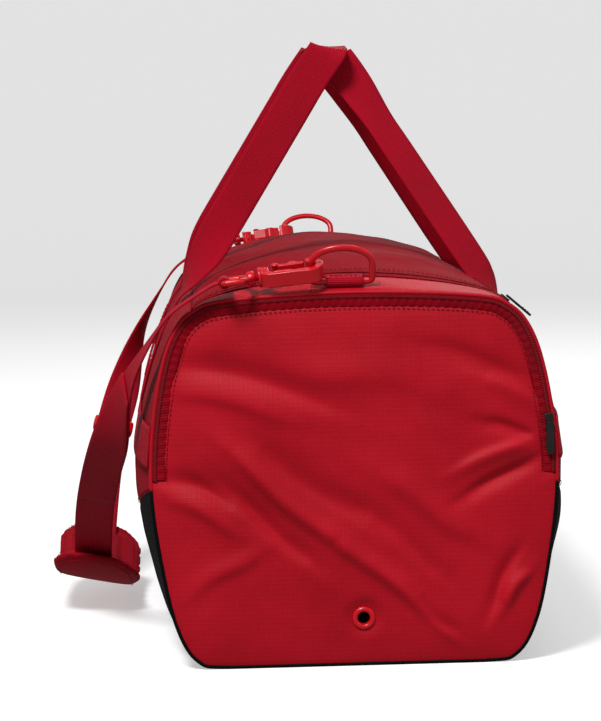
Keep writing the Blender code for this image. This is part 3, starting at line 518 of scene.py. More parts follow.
def web_section(width=WEB_WIDTH, thick=WEB_THICK, across=12):
    """The section of webbing: flat, with rounded selvedges that are a little thicker."""
    top = []
    for u in spread(-1.0, 1.0, across):
        edge = abs(u) ** 6
        top.append((u * width / 2, thick / 2 * (0.86 + 0.30 * edge - 0.72 * max(0.0, edge - 0.55))))
    return top + [(u, -v) for u, v in reversed(top)]


def circle(radius, sides=14):
    """A round section."""
    return [(radius * cos(2 * pi * k / sides), radius * sin(2 * pi * k / sides)) for k in range(sides)]


def ribbon(name, frames, finish, body, replaces=(), section=None, closed=False):
    """A piece of webbing, cord or wire along frames."""
    verts, faces, uvs = sweep(frames, section or web_section(), closed)
    return place(name, verts, faces, finish, body, replaces, uvs)

# %% Beads: zip teeth and stitches
def beads(name, spots, size, finish, body, replaces=()):
    """Rounded rods of (length, width, height) at spots (centre, along, out), in one mesh."""
    long, wide, high = (s / 2 for s in size)
    verts, faces = [], []
    for centre, along, out in spots:
        across = along.cross(out).normalized()
        start = len(verts)
        for end, share in ((-1.0, 0.55), (-0.7, 1.0), (0.7, 1.0), (1.0, 0.55)):
            for k in range(6):
                angle = pi * k / 3
                verts.append(centre + along * (end * long) + across * (cos(angle) * wide * share)
                             + out * (sin(angle) * high * share))
        for ring in range(3):
            a = start + ring * 6
            faces += [(a + m, a + (m + 1) % 6, a + 6 + (m + 1) % 6, a + 6 + m) for m in range(6)]
        faces += [tuple(range(start, start + 6)), tuple(range(start + 18, start + 24))]
    uvs = [(v.x, v.z) for v in verts]
    return place(name, verts, faces, finish, body, replaces, uvs)


def stitches(name, route, finish, body, pitch=0.0045, length=0.0030, wide=0.0007):
    """A row of stitches along a route of (point, outward) pairs."""
    spots, travelled, target = [], 0.0, pitch / 2
    for (a, out), (b, _) in zip(route, route[1:]):
        step = (b - a).length
        while step > 0 and travelled + step >= target:
            spot = a.lerp(b, (target - travelled) / step)
            spots.append((spot, (b - a).normalized(), out.normalized()))
            target += pitch
        travelled += step
    return beads(name, spots, (length, wide, wide), finish, body)


def body_route(points, out=0.0):
    """Turns (arc, y) points on the bag into (point, outward) pairs."""
    return [(surface(a, y, out), surface(a, y, 1.0) - surface(a, y)) for a, y in points]

# %% [markdown]
# ## The end panels
#
# Its upper part is a pocket flap inside a U-shaped zip, and its lower part is sewn in. On the real
# bag the cloth is one piece, so here it is one sheet too. A Coons patch fills the rounded outline
# with even quads, so no point pulls at the middle, and each fold is a soft ridge or valley along a
# line.

# %% Folds as soft ridges
# Each fold: start and end (x, z), half width, height; a negative height is a valley
NEAR_FOLDS = [
    ((-0.114, 0.198), (-0.018, 0.116), 0.012, 0.0040), ((-0.018, 0.116), (0.091, 0.026), 0.011, 0.0032),
    ((-0.128, 0.176), (-0.040, 0.098), 0.011, -0.0034), ((-0.085, 0.205), (0.010, 0.130), 0.014, -0.0022),
    ((-0.182, 0.289), (-0.018, 0.243), 0.016, -0.0030), ((-0.180, 0.262), (-0.060, 0.232), 0.014, 0.0020),
    ((-0.182, 0.182), (-0.109, 0.153), 0.011, -0.0034), ((-0.172, 0.160), (-0.110, 0.128), 0.010, 0.0020),
    ((0.182, 0.198), (0.100, 0.153), 0.009, -0.0034), ((0.180, 0.215), (0.095, 0.178), 0.009, 0.0028),
    ((0.182, 0.205), (0.118, 0.222), 0.009, -0.0026), ((0.183, 0.235), (0.120, 0.262), 0.010, 0.0022),
    ((0.178, 0.262), (0.060, 0.292), 0.016, -0.0022), ((0.136, 0.053), (0.159, 0.085), 0.008, 0.0034),
    ((0.120, 0.045), (0.150, 0.105), 0.008, -0.0026), ((0.055, 0.062), (0.091, 0.026), 0.008, -0.0030),
    ((-0.150, 0.070), (-0.090, 0.110), 0.012, 0.0018), ((0.020, 0.175), (0.110, 0.120), 0.016, 0.0020),
    ((0.000, 0.150), (0.080, 0.085), 0.012, -0.0016), ((-0.060, 0.280), (0.060, 0.255), 0.022, 0.0016),
]


def fold_height(x, z, folds):
    """Sum of the ridges and valleys at each point; x and z are arrays in metres."""
    height = np.zeros_like(x)
    for (x0, z0), (x1, z1), width, rise in folds:
        dx, dz = x1 - x0, z1 - z0
        span = dx * dx + dz * dz
        t = ((x - x0) * dx + (z - z0) * dz) / span
        inside = np.clip(t, 0.0, 1.0)
        # The line itself wanders a little, and the fold fades past both of its ends.
        bend = 0.25 * width * np.sin(5.0 * inside + 40.0 * x0)
        off = ((x - x0) * dz - (z - z0) * dx) / np.sqrt(span) + bend
        beyond = (t - inside) * np.sqrt(span)
        taper = 0.35 + 0.65 * np.sin(pi * inside) ** 0.7
        near = off / (0.72 * width)
        # One flank of a fold is steeper than the other, as where cloth leans over.
        near = np.where(near > 0, near * 1.35, near * 0.8)
        height += 1.75 * rise * taper * np.exp(-near ** 2 - (beyond / (1.6 * width)) ** 2)
    return height


def noise_height(x, z, scale, seed):
    """Slow uneven height from -1 to 1."""
    return np.array([noise.noise(Vector((a * scale, b * scale, seed))) for a, b in zip(x.ravel(), z.ravel())]
                    ).reshape(x.shape)

# %% The patch and the sheets
VENT_X = 0.006
VENT_Z = 0.044
VENT_HOLE = 0.0078
PATCH = 130
CORNER_LOW = float(np.interp(0.128, OUT_X[:60], OUT_A[:60]))
CORNER_HIGH = arc_at_height(0.300)
END_PUFF = 0.006


def rim_point(arc):
    """Rim of the end cloth: the sewn outline below the flap's hinge, the zip above it."""
    z = profile(arc, HALF)[1]
    t = min(max((z - FLAP_HINGE_Z + 0.004) / 0.008, 0.0), 1.0)
    inset = 0.0008 + (END_TAPE + 0.0046) * t * t * (3 - 2 * t)
    point = surface(arc, HALF, -inset)
    return np.array((point.x, point.z))


def end_patch():
    """The Coons patch between four runs of the rim; returns x and z as square arrays."""
    low, high = CORNER_LOW, CORNER_HIGH
    bottom = np.array([rim_point(a) for a in spread(-low, low, PATCH)])
    top = np.array([rim_point(a) for a in spread(left(high), high, PATCH)])
    right = np.array([rim_point(a) for a in spread(low, high, PATCH)])
    left_run = np.array([rim_point(a) for a in spread(left(low), left(high), PATCH)])
    s = np.linspace(0, 1, PATCH + 1)[None, :, None]
    t = np.linspace(0, 1, PATCH + 1)[:, None, None]
    made = (1 - t) * bottom[None] + t * top[None] + (1 - s) * left_run[:, None] + s * right[:, None]
    made -= ((1 - s) * (1 - t) * bottom[0] + s * (1 - t) * bottom[-1]
             + (1 - s) * t * top[0] + s * t * top[-1])
    return made[..., 0], made[..., 1]


PATCH_X, PATCH_Z = end_patch()
RIM = np.array([rim_point(a) for a in spread(0.0, 2 * GIRTH, 420)])
RIM_DISTANCE = np.min(np.hypot(PATCH_X[..., None] - RIM[:, 0], PATCH_Z[..., None] - RIM[:, 1]), axis=2)


def end_lift(folds, seed):
    """How far the end cloth stands out from the flat end at each patch point."""
    rise = END_PUFF * (1 - np.exp(-RIM_DISTANCE / 0.035))
    rough = 0.0012 * noise_height(PATCH_X, PATCH_Z, 14.0, seed)
    rough += 0.0004 * noise_height(PATCH_X, PATCH_Z, 45.0, seed + 3.0)
    rise += (fold_height(PATCH_X, PATCH_Z, folds) + rough) * (1 - np.exp(-RIM_DISTANCE / 0.014))
    return rise - 0.0012 * np.exp(-RIM_DISTANCE / 0.003)


FAR_FOLDS = [((-a[0] * 0.9, a[1] * 0.95 + 0.01), (-b[0] * 0.9, b[1] * 0.95 + 0.01), w, h)
             for a, b, w, h in NEAR_FOLDS]
for name, end in ENDS:
    lift = end_lift(NEAR_FOLDS if end < 0 else FAR_FOLDS, 2.0 if end < 0 else 7.0)
    eye = np.hypot(PATCH_X - VENT_X, PATCH_Z - VENT_Z)
    lift = lift * (1 - np.exp(-(eye / 0.016) ** 4)) + 0.0006 * np.exp(-(eye / 0.016) ** 4)
    rows = [[Vector((x, end * (HALF + d), z)) for x, z, d in zip(*line)]
            for line in zip(PATCH_X, PATCH_Z, lift)]
    maps = [[(x, z) for x, z in zip(*line)] for line in zip(PATCH_X, PATCH_Z)]
    cloth = sheet(name + "_end_cloth", rows, maps, COATED_RED, None,
                  (name + "_end_lower_panel", name + "_end_flap"))
    bm = bmesh.new()
    bm.from_mesh(cloth.data)
    vent = Vector((VENT_X, end * HALF, VENT_Z))
    hole = [f for f in bm.faces if (f.calc_center_median() - vent).length < VENT_HOLE]
    bmesh.ops.delete(bm, geom=hole, context="FACES")
    bm.to_mesh(cloth.data)
    bm.free()
    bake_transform(cloth)
print("end cloths:", (PATCH + 1) ** 2, "points each")

# %% [markdown]
# ## The end zips
#
# A coil zip shows as a fine dotted line between two ribbed tapes. The outer tape belongs to the
# bag and the inner one to the flap, so each half rides on its own body. The inner tape puckers
# where it is sewn round the corners, and a row of stitches holds the cloth down on it.

# %% Tapes, teeth and stitches of the ends
ZIP_LOW = arc_at_height(FLAP_HINGE_Z)


def end_route(inset, out, end, count=900):
    """(point, outward) pairs along the U of the end zip, at an inset from the outline."""
    made = []
    for a in spread(ZIP_LOW, left(ZIP_LOW), count):
        p = surface(a, HALF, -inset)
        made.append((Vector((p.x, end * (HALF + out), p.z)), Vector((0, end, 0))))
    return made


def end_tape(name, inset0, inset1, body, end, replaces, pucker):
    """A flat ribbed band between two insets, which puckers by a height."""
    rows, maps = [], []
    for k, a in enumerate(spread(ZIP_LOW, left(ZIP_LOW), 520)):
        row = []
        for j, inset in enumerate(spread(inset0, inset1, 5)):
            p = surface(a, HALF, -inset)
            rise = 0.0002 + pucker * (0.5 + 0.5 * sin(k * 0.95)) * sin(pi * j / 5)
            row.append(Vector((p.x, end * (HALF + rise), p.z)))
        rows.append(row)
        maps.append([(inset, a) for inset in spread(inset0, inset1, 5)])
    return sheet(name, rows, maps, TAPE_RED, body, replaces, thick=0.0009, away_from=(0, 0, 0.17))


def teeth(name, route, side, body, pitch=0.0017):
    """Half a coil: rounded loops across the zip, which lean over its middle line."""
    spots, travelled, target = [], 0.0, pitch * (0.25 if side > 0 else 0.75)
    for (a, out), (b, _) in zip(route, route[1:]):
        step = (b - a).length
        while step > 0 and travelled + step >= target:
            along = (b - a).normalized()
            across = along.cross(out).normalized() * side
            spots.append((a.lerp(b, (target - travelled) / step) + across * 0.0006, across, out))
            target += pitch
        travelled += step
    return beads(name, spots, (0.0024, 0.0011, 0.0014), TOOTH_RED, body)


for name, end in ENDS:
    flap = name + "_flap"
    end_tape(name + "_outer_tape", 0.0004, END_TAPE - 0.0004, "bag_body", end,
             (name + "_end_zip_outer_tape",), 0.0002)
    end_tape(name + "_inner_tape", END_TAPE + 0.0004, END_TAPE + ZIP_TAPE + 0.001, flap, end,
             (name + "_end_zip_inner_tape",), 0.0011)
    route = end_route(END_TAPE, 0.0008, end)
    teeth(name + "_outer_teeth", route, end, "bag_body")
    teeth(name + "_inner_teeth", route, -end, flap)
    stitches(name + "_flap_stitches", end_route(END_TAPE + ZIP_TAPE + 0.0016, 0.0018, end), TAPE_RED, flap)
print("end zips: 2")

# %% [markdown]
# ## The sides, the bottom and the gussets
#
# The sides are red twill above and black cloth below, with a seam that dips towards the middle of
# the bag. Between the lid and each end lies a smooth gusset. These are sheets on the bag's
# surface with slow dents, and each one turns down a little at its seams, as sewn cloth does.

# %% Sheets on the bag's surface
BODY_END = HALF - 0.0012
ARC_BODY_TAPE = ARC_LID - ZIP_TAPE
LID_END = HALF - LID_MARGIN


def black_seam(y):
    """Arc of the seam between the black lower cloth and the red upper cloth."""
    t = (abs(y) / HALF) ** 1.5
    return arc_at_height(BLACK_TOP_MID + (BLACK_TOP_END - BLACK_TOP_MID) * t)


def along_bag(y0, y1, count):
    """Places along the bag, closer together near its ends."""
    return [(y0 + y1) / 2 + (y1 - y0) / 2 * sin(pi / 2 * t) for t in spread(-1, 1, count)]


def body_sheet(name, arc0, arc1, ys, across, finish, body, replaces, dent=0.0016, out=0.0, seed=1.0,
               tuck=0.0012):
    """Cloth on the bag between two arcs, which may change along it."""
    first = arc0 if callable(arc0) else (lambda y: arc0)
    final = arc1 if callable(arc1) else (lambda y: arc1)
    rows, maps = [], []
    y_low, y_high = ys[0], ys[-1]
    for y in ys:
        a0, a1 = first(y) + 0.0002, final(y) - 0.0002
        row, line = [], []
        for a in spread(a0, a1, across):
            edge = min(a - a0, a1 - a, y - y_low, y_high - y)
            free = 1 - exp(-edge / 0.012)
            rise = dent * free * noise.noise(Vector((a * 9.0, y * 6.0, seed)))
            rise += 0.35 * dent * free * noise.noise(Vector((a * 30.0, y * 20.0, seed + 5.0)))
            row.append(surface(a, y, out + rise - tuck * exp(-edge / 0.002)))
            line.append((a, y))
        rows.append(row)
        maps.append(line)
    return sheet(name, rows, maps, finish, body, replaces)


ALL_YS = along_bag(-BODY_END, BODY_END, 150)
body_sheet("bottom_cloth", -ARC_FLAT, ARC_FLAT, ALL_YS, 20, BLACK_CLOTH, "bag_body", ("bottom_panel",),
           dent=0.0)
body_sheet("right_black_cloth", ARC_FLAT, black_seam, ALL_YS, 36, BLACK_CLOTH, "bag_body",
           ("right_lower_panel",), dent=0.004, seed=2.0)
body_sheet("left_black_cloth", lambda y: left(black_seam(y)), left(ARC_FLAT), ALL_YS, 36, BLACK_CLOTH,
           "bag_body", ("left_lower_panel",), dent=0.004, seed=3.0)
body_sheet("right_twill", black_seam, ARC_BODY_TAPE, ALL_YS, 46, TWILL_RED, "bag_body",
           ("right_upper_panel",), dent=0.003, seed=4.0)
body_sheet("left_twill", left(ARC_LID), lambda y: left(black_seam(y)), ALL_YS, 46, TWILL_RED, "bag_body",
           ("left_upper_panel",), dent=0.003, seed=5.0)
for name, end in ENDS:
    ys = sorted(spread(end * BODY_END, end * (LID_END + ZIP_TAPE), 18))
    body_sheet(name + "_gusset", ARC_BODY_TAPE, left(ARC_LID), ys, 90, COATED_RED, "bag_body",
               (name + "_top_gusset",), dent=0.003, seed=6.0)
for side, sign in SIDES:
    seam = [(black_seam(y) if sign > 0 else left(black_seam(y)), y) for y in ALL_YS]
    stitches(side + "_seam_stitches", body_route([(a + sign * 0.003, y) for a, y in seam], 0.0004),
             TWILL_RED, "bag_body")
print("body sheets: 7")

# %% Welts round the ends
def welt(name, arc0, arc1, end, finish, count):
    """A rolled seam where the end meets the sides."""
    frames = []
    for a in spread(arc0, arc1, count):
        p, q = surface(a, HALF, -0.0012), surface(a + 0.001, HALF, -0.0012)
        centre = Vector((p.x, end * (HALF - 0.0012), p.z))
        along = Vector((q.x - p.x, 0, q.z - p.z)).normalized()
        w = Vector((0, end, 0))
        frames.append((centre, w, along.cross(w)))
    return ribbon(name, frames, finish, "bag_body", section=circle(0.0019, 10))


for name, end in ENDS:
    low = black_seam(HALF)
    welt(name + "_red_welt", low, left(low), end, COATED_RED, 260)
    welt(name + "_black_welt", -low, low, end, BLACK_CLOTH, 200)
print("welts: 4")

# %% [markdown]
# ## The lid
#
# It is sewn along its left edge and zipped on the other three, so the zip's inner tape, half of
# its teeth and a row of stitches ride with it.

# %% Lid cloth and its zip
lid_ys = along_bag(-LID_END + ZIP_TAPE, LID_END - ZIP_TAPE, 130)
body_sheet("lid_cloth", ARC_LID + ZIP_TAPE, left(ARC_LID), lid_ys, 90, COARSE_RED, "lid", ("lid_panel",),
           dent=0.004, seed=8.0)


def lid_route(shift, count=110):
    """(arc, y) points along the lid's zip, moved outward from it by a shift."""
    reach = spread(left(ARC_LID), ARC_LID - shift + 0.012, count)
    corner = [(ARC_LID - shift + 0.012 - 0.012 * sin(t), -LID_END - shift + 0.012 * (1 - cos(t)))
              for t in spread(0, pi / 2, 12)[1:]]
    side = [(ARC_LID - shift, y)
            for y in spread(-LID_END - shift + 0.012, LID_END + shift - 0.012, 220)[1:]]
    back = [(a, -y) for a, y in reversed(corner[:-1])]
    route = [(a, -LID_END - shift) for a in reach] + corner + side + back
    return route + [(a, LID_END + shift) for a in reversed(reach)]


def lid_tape(name, shift0, shift1, body, replaces, pucker):
    """A ribbed band along the lid's zip."""
    lines = [lid_route(shift) for shift in spread(shift0, shift1, 5)]
    rows, maps = [], []
    for k in range(len(lines[0])):
        rise = [0.0003 + pucker * (0.5 + 0.5 * sin(k * 1.3)) * sin(pi * j / 5) for j in range(6)]
        rows.append([surface(*line[k], rise[j]) for j, line in enumerate(lines)])
        maps.append([(line[k][0], line[k][1] + line[k][0]) for line in lines])
    return sheet(name, rows, maps, TAPE_RED, body, replaces, thick=0.0009)


lid_tape("lid_inner_tape", -ZIP_TAPE - 0.0022, -0.0004, "lid", ("lid_zip_inner_tape",), 0.0008)
lid_tape("lid_outer_tape", 0.0004, ZIP_TAPE + 0.0015, "bag_body", ("lid_zip_outer_tape",), 0.0004)
zip_line = body_route(lid_route(0.0), 0.0008)
teeth("lid_outer_teeth", zip_line, 1, "bag_body")
teeth("lid_inner_teeth", zip_line, -1, "lid")
stitches("lid_stitches", body_route(lid_route(-ZIP_TAPE - 0.0016), 0.0012), COARSE_RED, "lid")
stitches("gusset_stitches", body_route(lid_route(ZIP_TAPE + 0.0016), 0.0008), COATED_RED, "bag_body")
print("lid: cloth, 2 tapes, teeth and stitches")

# %% [markdown]
# ## Webbing on the sides, and the carry handles
#
# One band of webbing runs along each side, and each handle is one long piece that starts at the
# band, climbs the side, turns a quarter turn and meets the other handle over the lid. Because the
# real handle is a single ribbon, it is one ribbon here.

# %% Side bands
LAY = WEB_THICK / 2 + 0.0003


def lying(points, lift=LAY):
    """Frames for webbing that lies on the bag along (arc, y) points."""
    centres = [surface(a, y, lift) for a, y in points]
    frames = []
    for k, (a, y) in enumerate(points):
        along = (centres[min(k + 1, len(points) - 1)] - centres[max(k - 1, 0)]).normalized()
        out = (surface(a, y, 1.0) - surface(a, y)).normalized()
        frames.append((centres[k], along.cross(out).normalized(), out))
    return frames


for side, sign in SIDES:
    middle = arc_at_height(BAND_Z)
    middle = middle if sign > 0 else left(middle)
    ribbon(side + "_band", lying([(middle, y) for y in ALL_YS]), WEBBING_RED, "bag_body",
           (side + "_side_band",))
    for k in (-1, 1):
        edge = [(middle + k * (WEB_WIDTH / 2 - 0.003), y) for y in ALL_YS]
        stitches(f"{side}_band_stitches_{'lower' if k < 0 else 'upper'}",
                 body_route(edge, WEB_THICK + 0.0004), WEBBING_RED, "bag_body")
print("side bands: 2")

# %% Carry handles
HANDLE_START, GRIP_BEND = 0.0050, 0.022
HANDLE_TOPS = {"left": (-0.004, 0.125, 0.5725), "right": (0.004, 0.098, 0.5655)}
# How far a leg has turned, by the distance from its foot in webbing widths
HANDLE_TWISTS = {"left": ((0.5, 0.0), (1.2, 0.35), (2.1, 0.8), (3.1, 1.0)),
                 "right": ((0.15, 0.0), (0.9, 0.42), (1.7, 0.54), (4.8, 0.55))}


def handle_half(side, sign):
    """Centre points and width directions of a handle's near half, from the band to the grip."""
    arc_low, arc_top = arc_at_height(BAND_Z + WEB_WIDTH / 2 - 0.012), arc_at_height(HANDLE_BASE_Z)
    arcs = spread(arc_low, arc_top, 7)
    points = [surface(a if sign > 0 else left(a), -HANDLE_Y, LAY + 0.0006) for a in arcs]
    widths = [Vector((0, sign, 0))] * len(points)
    foot = surface(arc_top if sign > 0 else left(arc_top), HANDLE_Y, WEB_THICK + 0.0003)
    foot.y = -HANDLE_Y
    x, y, z = HANDLE_TOPS[side]
    tip = Vector((x, -y, z))
    lean = (tip - foot).normalized()
    base = foot + lean * HANDLE_START
    across = Vector((lean.z, 0, -lean.x)).normalized()
    leg = (tip - base).length
    twists = HANDLE_TWISTS[side]
    turns = [(k * WEB_WIDTH / leg, t) for k, t in twists]
    turns += [(0.74, twists[-1][1]), (0.88, (1 + twists[-1][1]) / 2)]
    points.append(base)
    widths.append(Vector((0, sign, 0)))
    for share, twist in turns:
        points.append(base.lerp(tip, share))
        widths.append(Vector((0, sign, 0)) * cos(twist * pi / 2) + across * sin(twist * pi / 2))
    points += [tip + Vector((0, 0.0020, -0.0035)), tip + Vector((0, GRIP_BEND, 0)),
               Vector((x, -y / 2, z)), Vector((x, 0, z))]
    widths += [(across + Vector((1, 0, 0))) / 2] + [Vector((1, 0, 0))] * 3
    return points, widths


for side, sign in SIDES:
    points, widths = handle_half(side, sign)
    points += [Vector((p.x, -p.y, p.z)) for p in reversed(points[:-1])]
    widths += [Vector((w.x, -w.y, w.z)) for w in reversed(widths[:-1])]
    handle = ribbon(side + "_handle_webbing", web_frames(points, widths, 9), WEBBING_RED, None,
                    (side + "_handle", side + "_near_handle_anchor", side + "_far_handle_anchor"))
    pivot = surface(arc_at_height(HANDLE_BASE_Z), HANDLE_Y, WEB_THICK + 0.0003)
    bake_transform(handle)
    for name, end in ENDS:
        for k in (-1, 1):
            arcs = spread(arc_at_height(BAND_Z + WEB_WIDTH / 2), arc_at_height(HANDLE_BASE_Z - 0.004), 30)
            edge = [(a if sign > 0 else left(a), end * HANDLE_Y + k * (WEB_WIDTH / 2 - 0.003)) for a in arcs]
            stitches(f"{side}_{name}_leg_stitches_{'a' if k < 0 else 'b'}",
                     body_route(edge, WEB_THICK + 0.0010), WEBBING_RED, "bag_body")
print("handles: 2")

# %% [markdown]
# ## D-rings, their tabs, and the snap hooks
#
# The shoulder strap clips to two moulded D-rings on the gussets. Each hook is a thick moulding: a
# curled bill, a body with a recess that saves plastic, a sprung gate with a thumb knob, and a
# swivel loop that holds the webbing. Extruded outlines with bevelled edges give the moulded look,
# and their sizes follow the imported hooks, so the hook stays clipped at every angle.

# %% Places of the ring and the hook
RING_WIRE, RING_HALF_WIDTH, RING_HEIGHT, RING_X = 0.0025, 0.028, 0.035, -0.008
RING_SETBACK, RING_LEAN = 0.007, radians(25)
TAB_X0, TAB_X1 = -0.022, 0.012
HOOK_HEIGHT_ON_RING, HOOK_ROLL, HOOK_PITCH, HOOK_THICK = 0.0125, radians(20), radians(6.5), 0.014
BILL_INNER, BILL_OUTER, WIRE_IN_BILL = 0.0070, 0.0140, 0.0020
HOOK_ROOT, HOOK_COLLAR, STEM_RADIUS = 0.036, 0.045, 0.0028
LOOP_WALL, LOOP_BAR, LOOP_WIRE, LOOP_SLACK, GATE_WIDTH = 0.050, 0.078, 0.0060, 0.0025, 0.0045


def ring_bar(end):
    """Centre of a D-ring's straight bar."""
    y = end * (HALF - RING_SETBACK)
    return Vector((RING_X, y, surface(GIRTH, y).z + 0.0003 + WEB_THICK + 0.0003 + RING_WIRE))


def ring_up(end):
    """Direction in which a D-ring stands up from its bar."""
    return Vector((0, end * sin(RING_LEAN), cos(RING_LEAN)))


def hook_frame(end):
    """A hook's origin and its directions: along, across towards the gate, through, flat, level."""
    wire = ring_bar(end) + Vector((-RING_HALF_WIDTH, 0, 0)) + ring_up(end) * HOOK_HEIGHT_ON_RING
    u = Vector((cos(HOOK_PITCH), 0, sin(HOOK_PITCH)))
    flat = Vector((0, -end, 0))
    level = Vector((-sin(HOOK_PITCH), 0, cos(HOOK_PITCH)))
    v = flat * cos(HOOK_ROLL) + level * sin(HOOK_ROLL)
    n = level * cos(HOOK_ROLL) - flat * sin(HOOK_ROLL)
    return wire - u * WIRE_IN_BILL, u, v, n, flat, level


def turned_frames(origin, axis, side, sides):
    """Frames round an axis for a turned ring; its section is (radius, along the axis)."""
    other = axis.cross(side)
    return [(origin, side * cos(a) + other * sin(a), axis) for a in spread(0, 2 * pi, sides)[:-1]]

# %% Moulded pieces: an extruded outline with rounded edges
def moulding(name, outline, at, n, low, high, finish, body, replaces=(), edge=0.0014):
    """Extrudes an outline of points through a thickness and rounds all its edges."""
    bm = bmesh.new()
    face = bm.faces.new([bm.verts.new(at(u, v) + n * low) for u, v in outline])
    pushed = bmesh.ops.extrude_face_region(bm, geom=[face])
    moved = [v for v in pushed["geom"] if isinstance(v, bmesh.types.BMVert)]
    bmesh.ops.translate(bm, verts=moved, vec=n * (high - low))
    bmesh.ops.recalc_face_normals(bm, faces=bm.faces)
    mesh = bpy.data.meshes.new(name)
    bm.to_mesh(mesh)
    bm.free()
    mesh.materials.append(finish)
    mesh.shade_smooth()
    made = bpy.data.objects.new(name, mesh)
    bpy.context.scene.collection.objects.link(made)
    rounded = made.modifiers.new("rounded", "BEVEL")
    rounded.width = edge
    rounded.segments = 3
    rounded.limit_method = "ANGLE"
    rounded.angle_limit = radians(38)
    rounded.harden_normals = True
    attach(made, body)
    if replaces:
        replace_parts(made, *replaces)
    return made


def smooth_loop(points, steps=4):
    """A denser closed outline through the given points."""
    row = [points[-1]] + list(points) + points[:2]
    made = []
    for a, b, c, d in zip(row, row[1:], row[2:], row[3:]):
        a, b, c, d = (Vector(p) for p in (a, b, c, d))
        for k in range(steps):
            t = k / steps
            made.append(0.5 * (2 * b + (c - a) * t + (2 * a - 5 * b + 4 * c - d) * t * t
                               + (3 * b - a - 3 * c + d) * t ** 3))
    return made

# %% D-rings and tabs
def ring_path():
    """Closed centre line of a D-ring, (x, height) from its bar's centre."""
    half = [(0.0, 0.0), (-0.016, 0.0), (-RING_HALF_WIDTH + 0.004, 0.0004), (-RING_HALF_WIDTH + 0.0012, 0.0016),
            (-RING_HALF_WIDTH, 0.0045), (-RING_HALF_WIDTH, 0.012), (-RING_HALF_WIDTH, 0.018)]
    for k in range(1, 6):
        angle = pi - pi * k / 12
        half.append((RING_HALF_WIDTH * cos(angle), 0.019 + (RING_HEIGHT - 0.019) * sin(angle)))
    return half + [(0.0, RING_HEIGHT)] + [(-x, h) for x, h in reversed(half[1:])]


for name, end in ENDS:
    bar, up = ring_bar(end), ring_up(end)
    out = Vector((1, 0, 0)).cross(up)
    centres = [bar + Vector((x, 0, 0)) + up * h for x, h in smooth_loop(ring_path(), 3)]
    frames = []
    for k, centre in enumerate(centres):
        along = (centres[(k + 1) % len(centres)] - centres[k - 1]).normalized()
        frames.append((centre, along.cross(out), out))
    ribbon(name + "_ring", frames, GLOSS_RED, name + "_ring", (name + "_d_ring",),
           section=[(1.25 * u, 0.9 * v) for u, v in circle(RING_WIRE, 16)], closed=True)
    radius = RING_WIRE + 0.0003 + WEB_THICK * 0.4
    path = [Vector((0, bar.y - end * b, surface(GIRTH, bar.y - end * b).z + 0.0016))
            for b in (0.020, 0.013, 0.007)]
    path += [Vector((0, bar.y + end * radius * sin(a), bar.z - radius * cos(a)))
             for a in spread(0.2, pi - 0.2, 8)]
    path += [Vector((0, bar.y - end * b, surface(GIRTH, bar.y - end * b).z + 0.0036))
             for b in (0.009, 0.014, 0.020)]
    middle = (TAB_X0 + TAB_X1) / 2
    path = [p + Vector((middle, 0, 0)) for p in path]
    ribbon(name + "_tab", web_frames(path, [Vector((1, 0, 0))] * len(path), 4), WEBBING_RED, "bag_body",
           (name + "_ring_tab",), section=web_section(TAB_X1 - TAB_X0, 0.0016))
    sewn = [(Vector((x, bar.y - end * 0.016, surface(GIRTH, bar.y - end * 0.016).z + 0.0046)), Vector((0, 0, 1)))
            for x in spread(TAB_X0 + 0.003, TAB_X1 - 0.003, 8)]
    stitches(name + "_tab_stitches", sewn, WEBBING_RED, "bag_body")
print("D-rings and tabs: 2")

# %% Hooks, gates and swivel loops
GATE_PIVOT = (-HOOK_ROOT + 0.006, 0.0095)


def hook_outline():
    """The hook's outline: collar, root, spine on one side and the bill curled round the ring."""
    mouth = radians(100)
    points = [(-HOOK_COLLAR + 0.001, -0.0078), (-HOOK_ROOT, -0.0115), (-0.012, -BILL_OUTER + 0.0015)]
    points += [(BILL_OUTER * cos(a), BILL_OUTER * sin(a)) for a in spread(-pi / 2, mouth, 20)]
    points += [(BILL_INNER * cos(a), BILL_INNER * sin(a)) for a in spread(mouth, -pi / 2, 20)]
    points += [(-0.015, -BILL_INNER), (-HOOK_ROOT + 0.002, -0.0055), (-HOOK_ROOT, -0.003),
               (-HOOK_ROOT, 0.0060), (-HOOK_COLLAR + 0.001, 0.0078)]
    return points


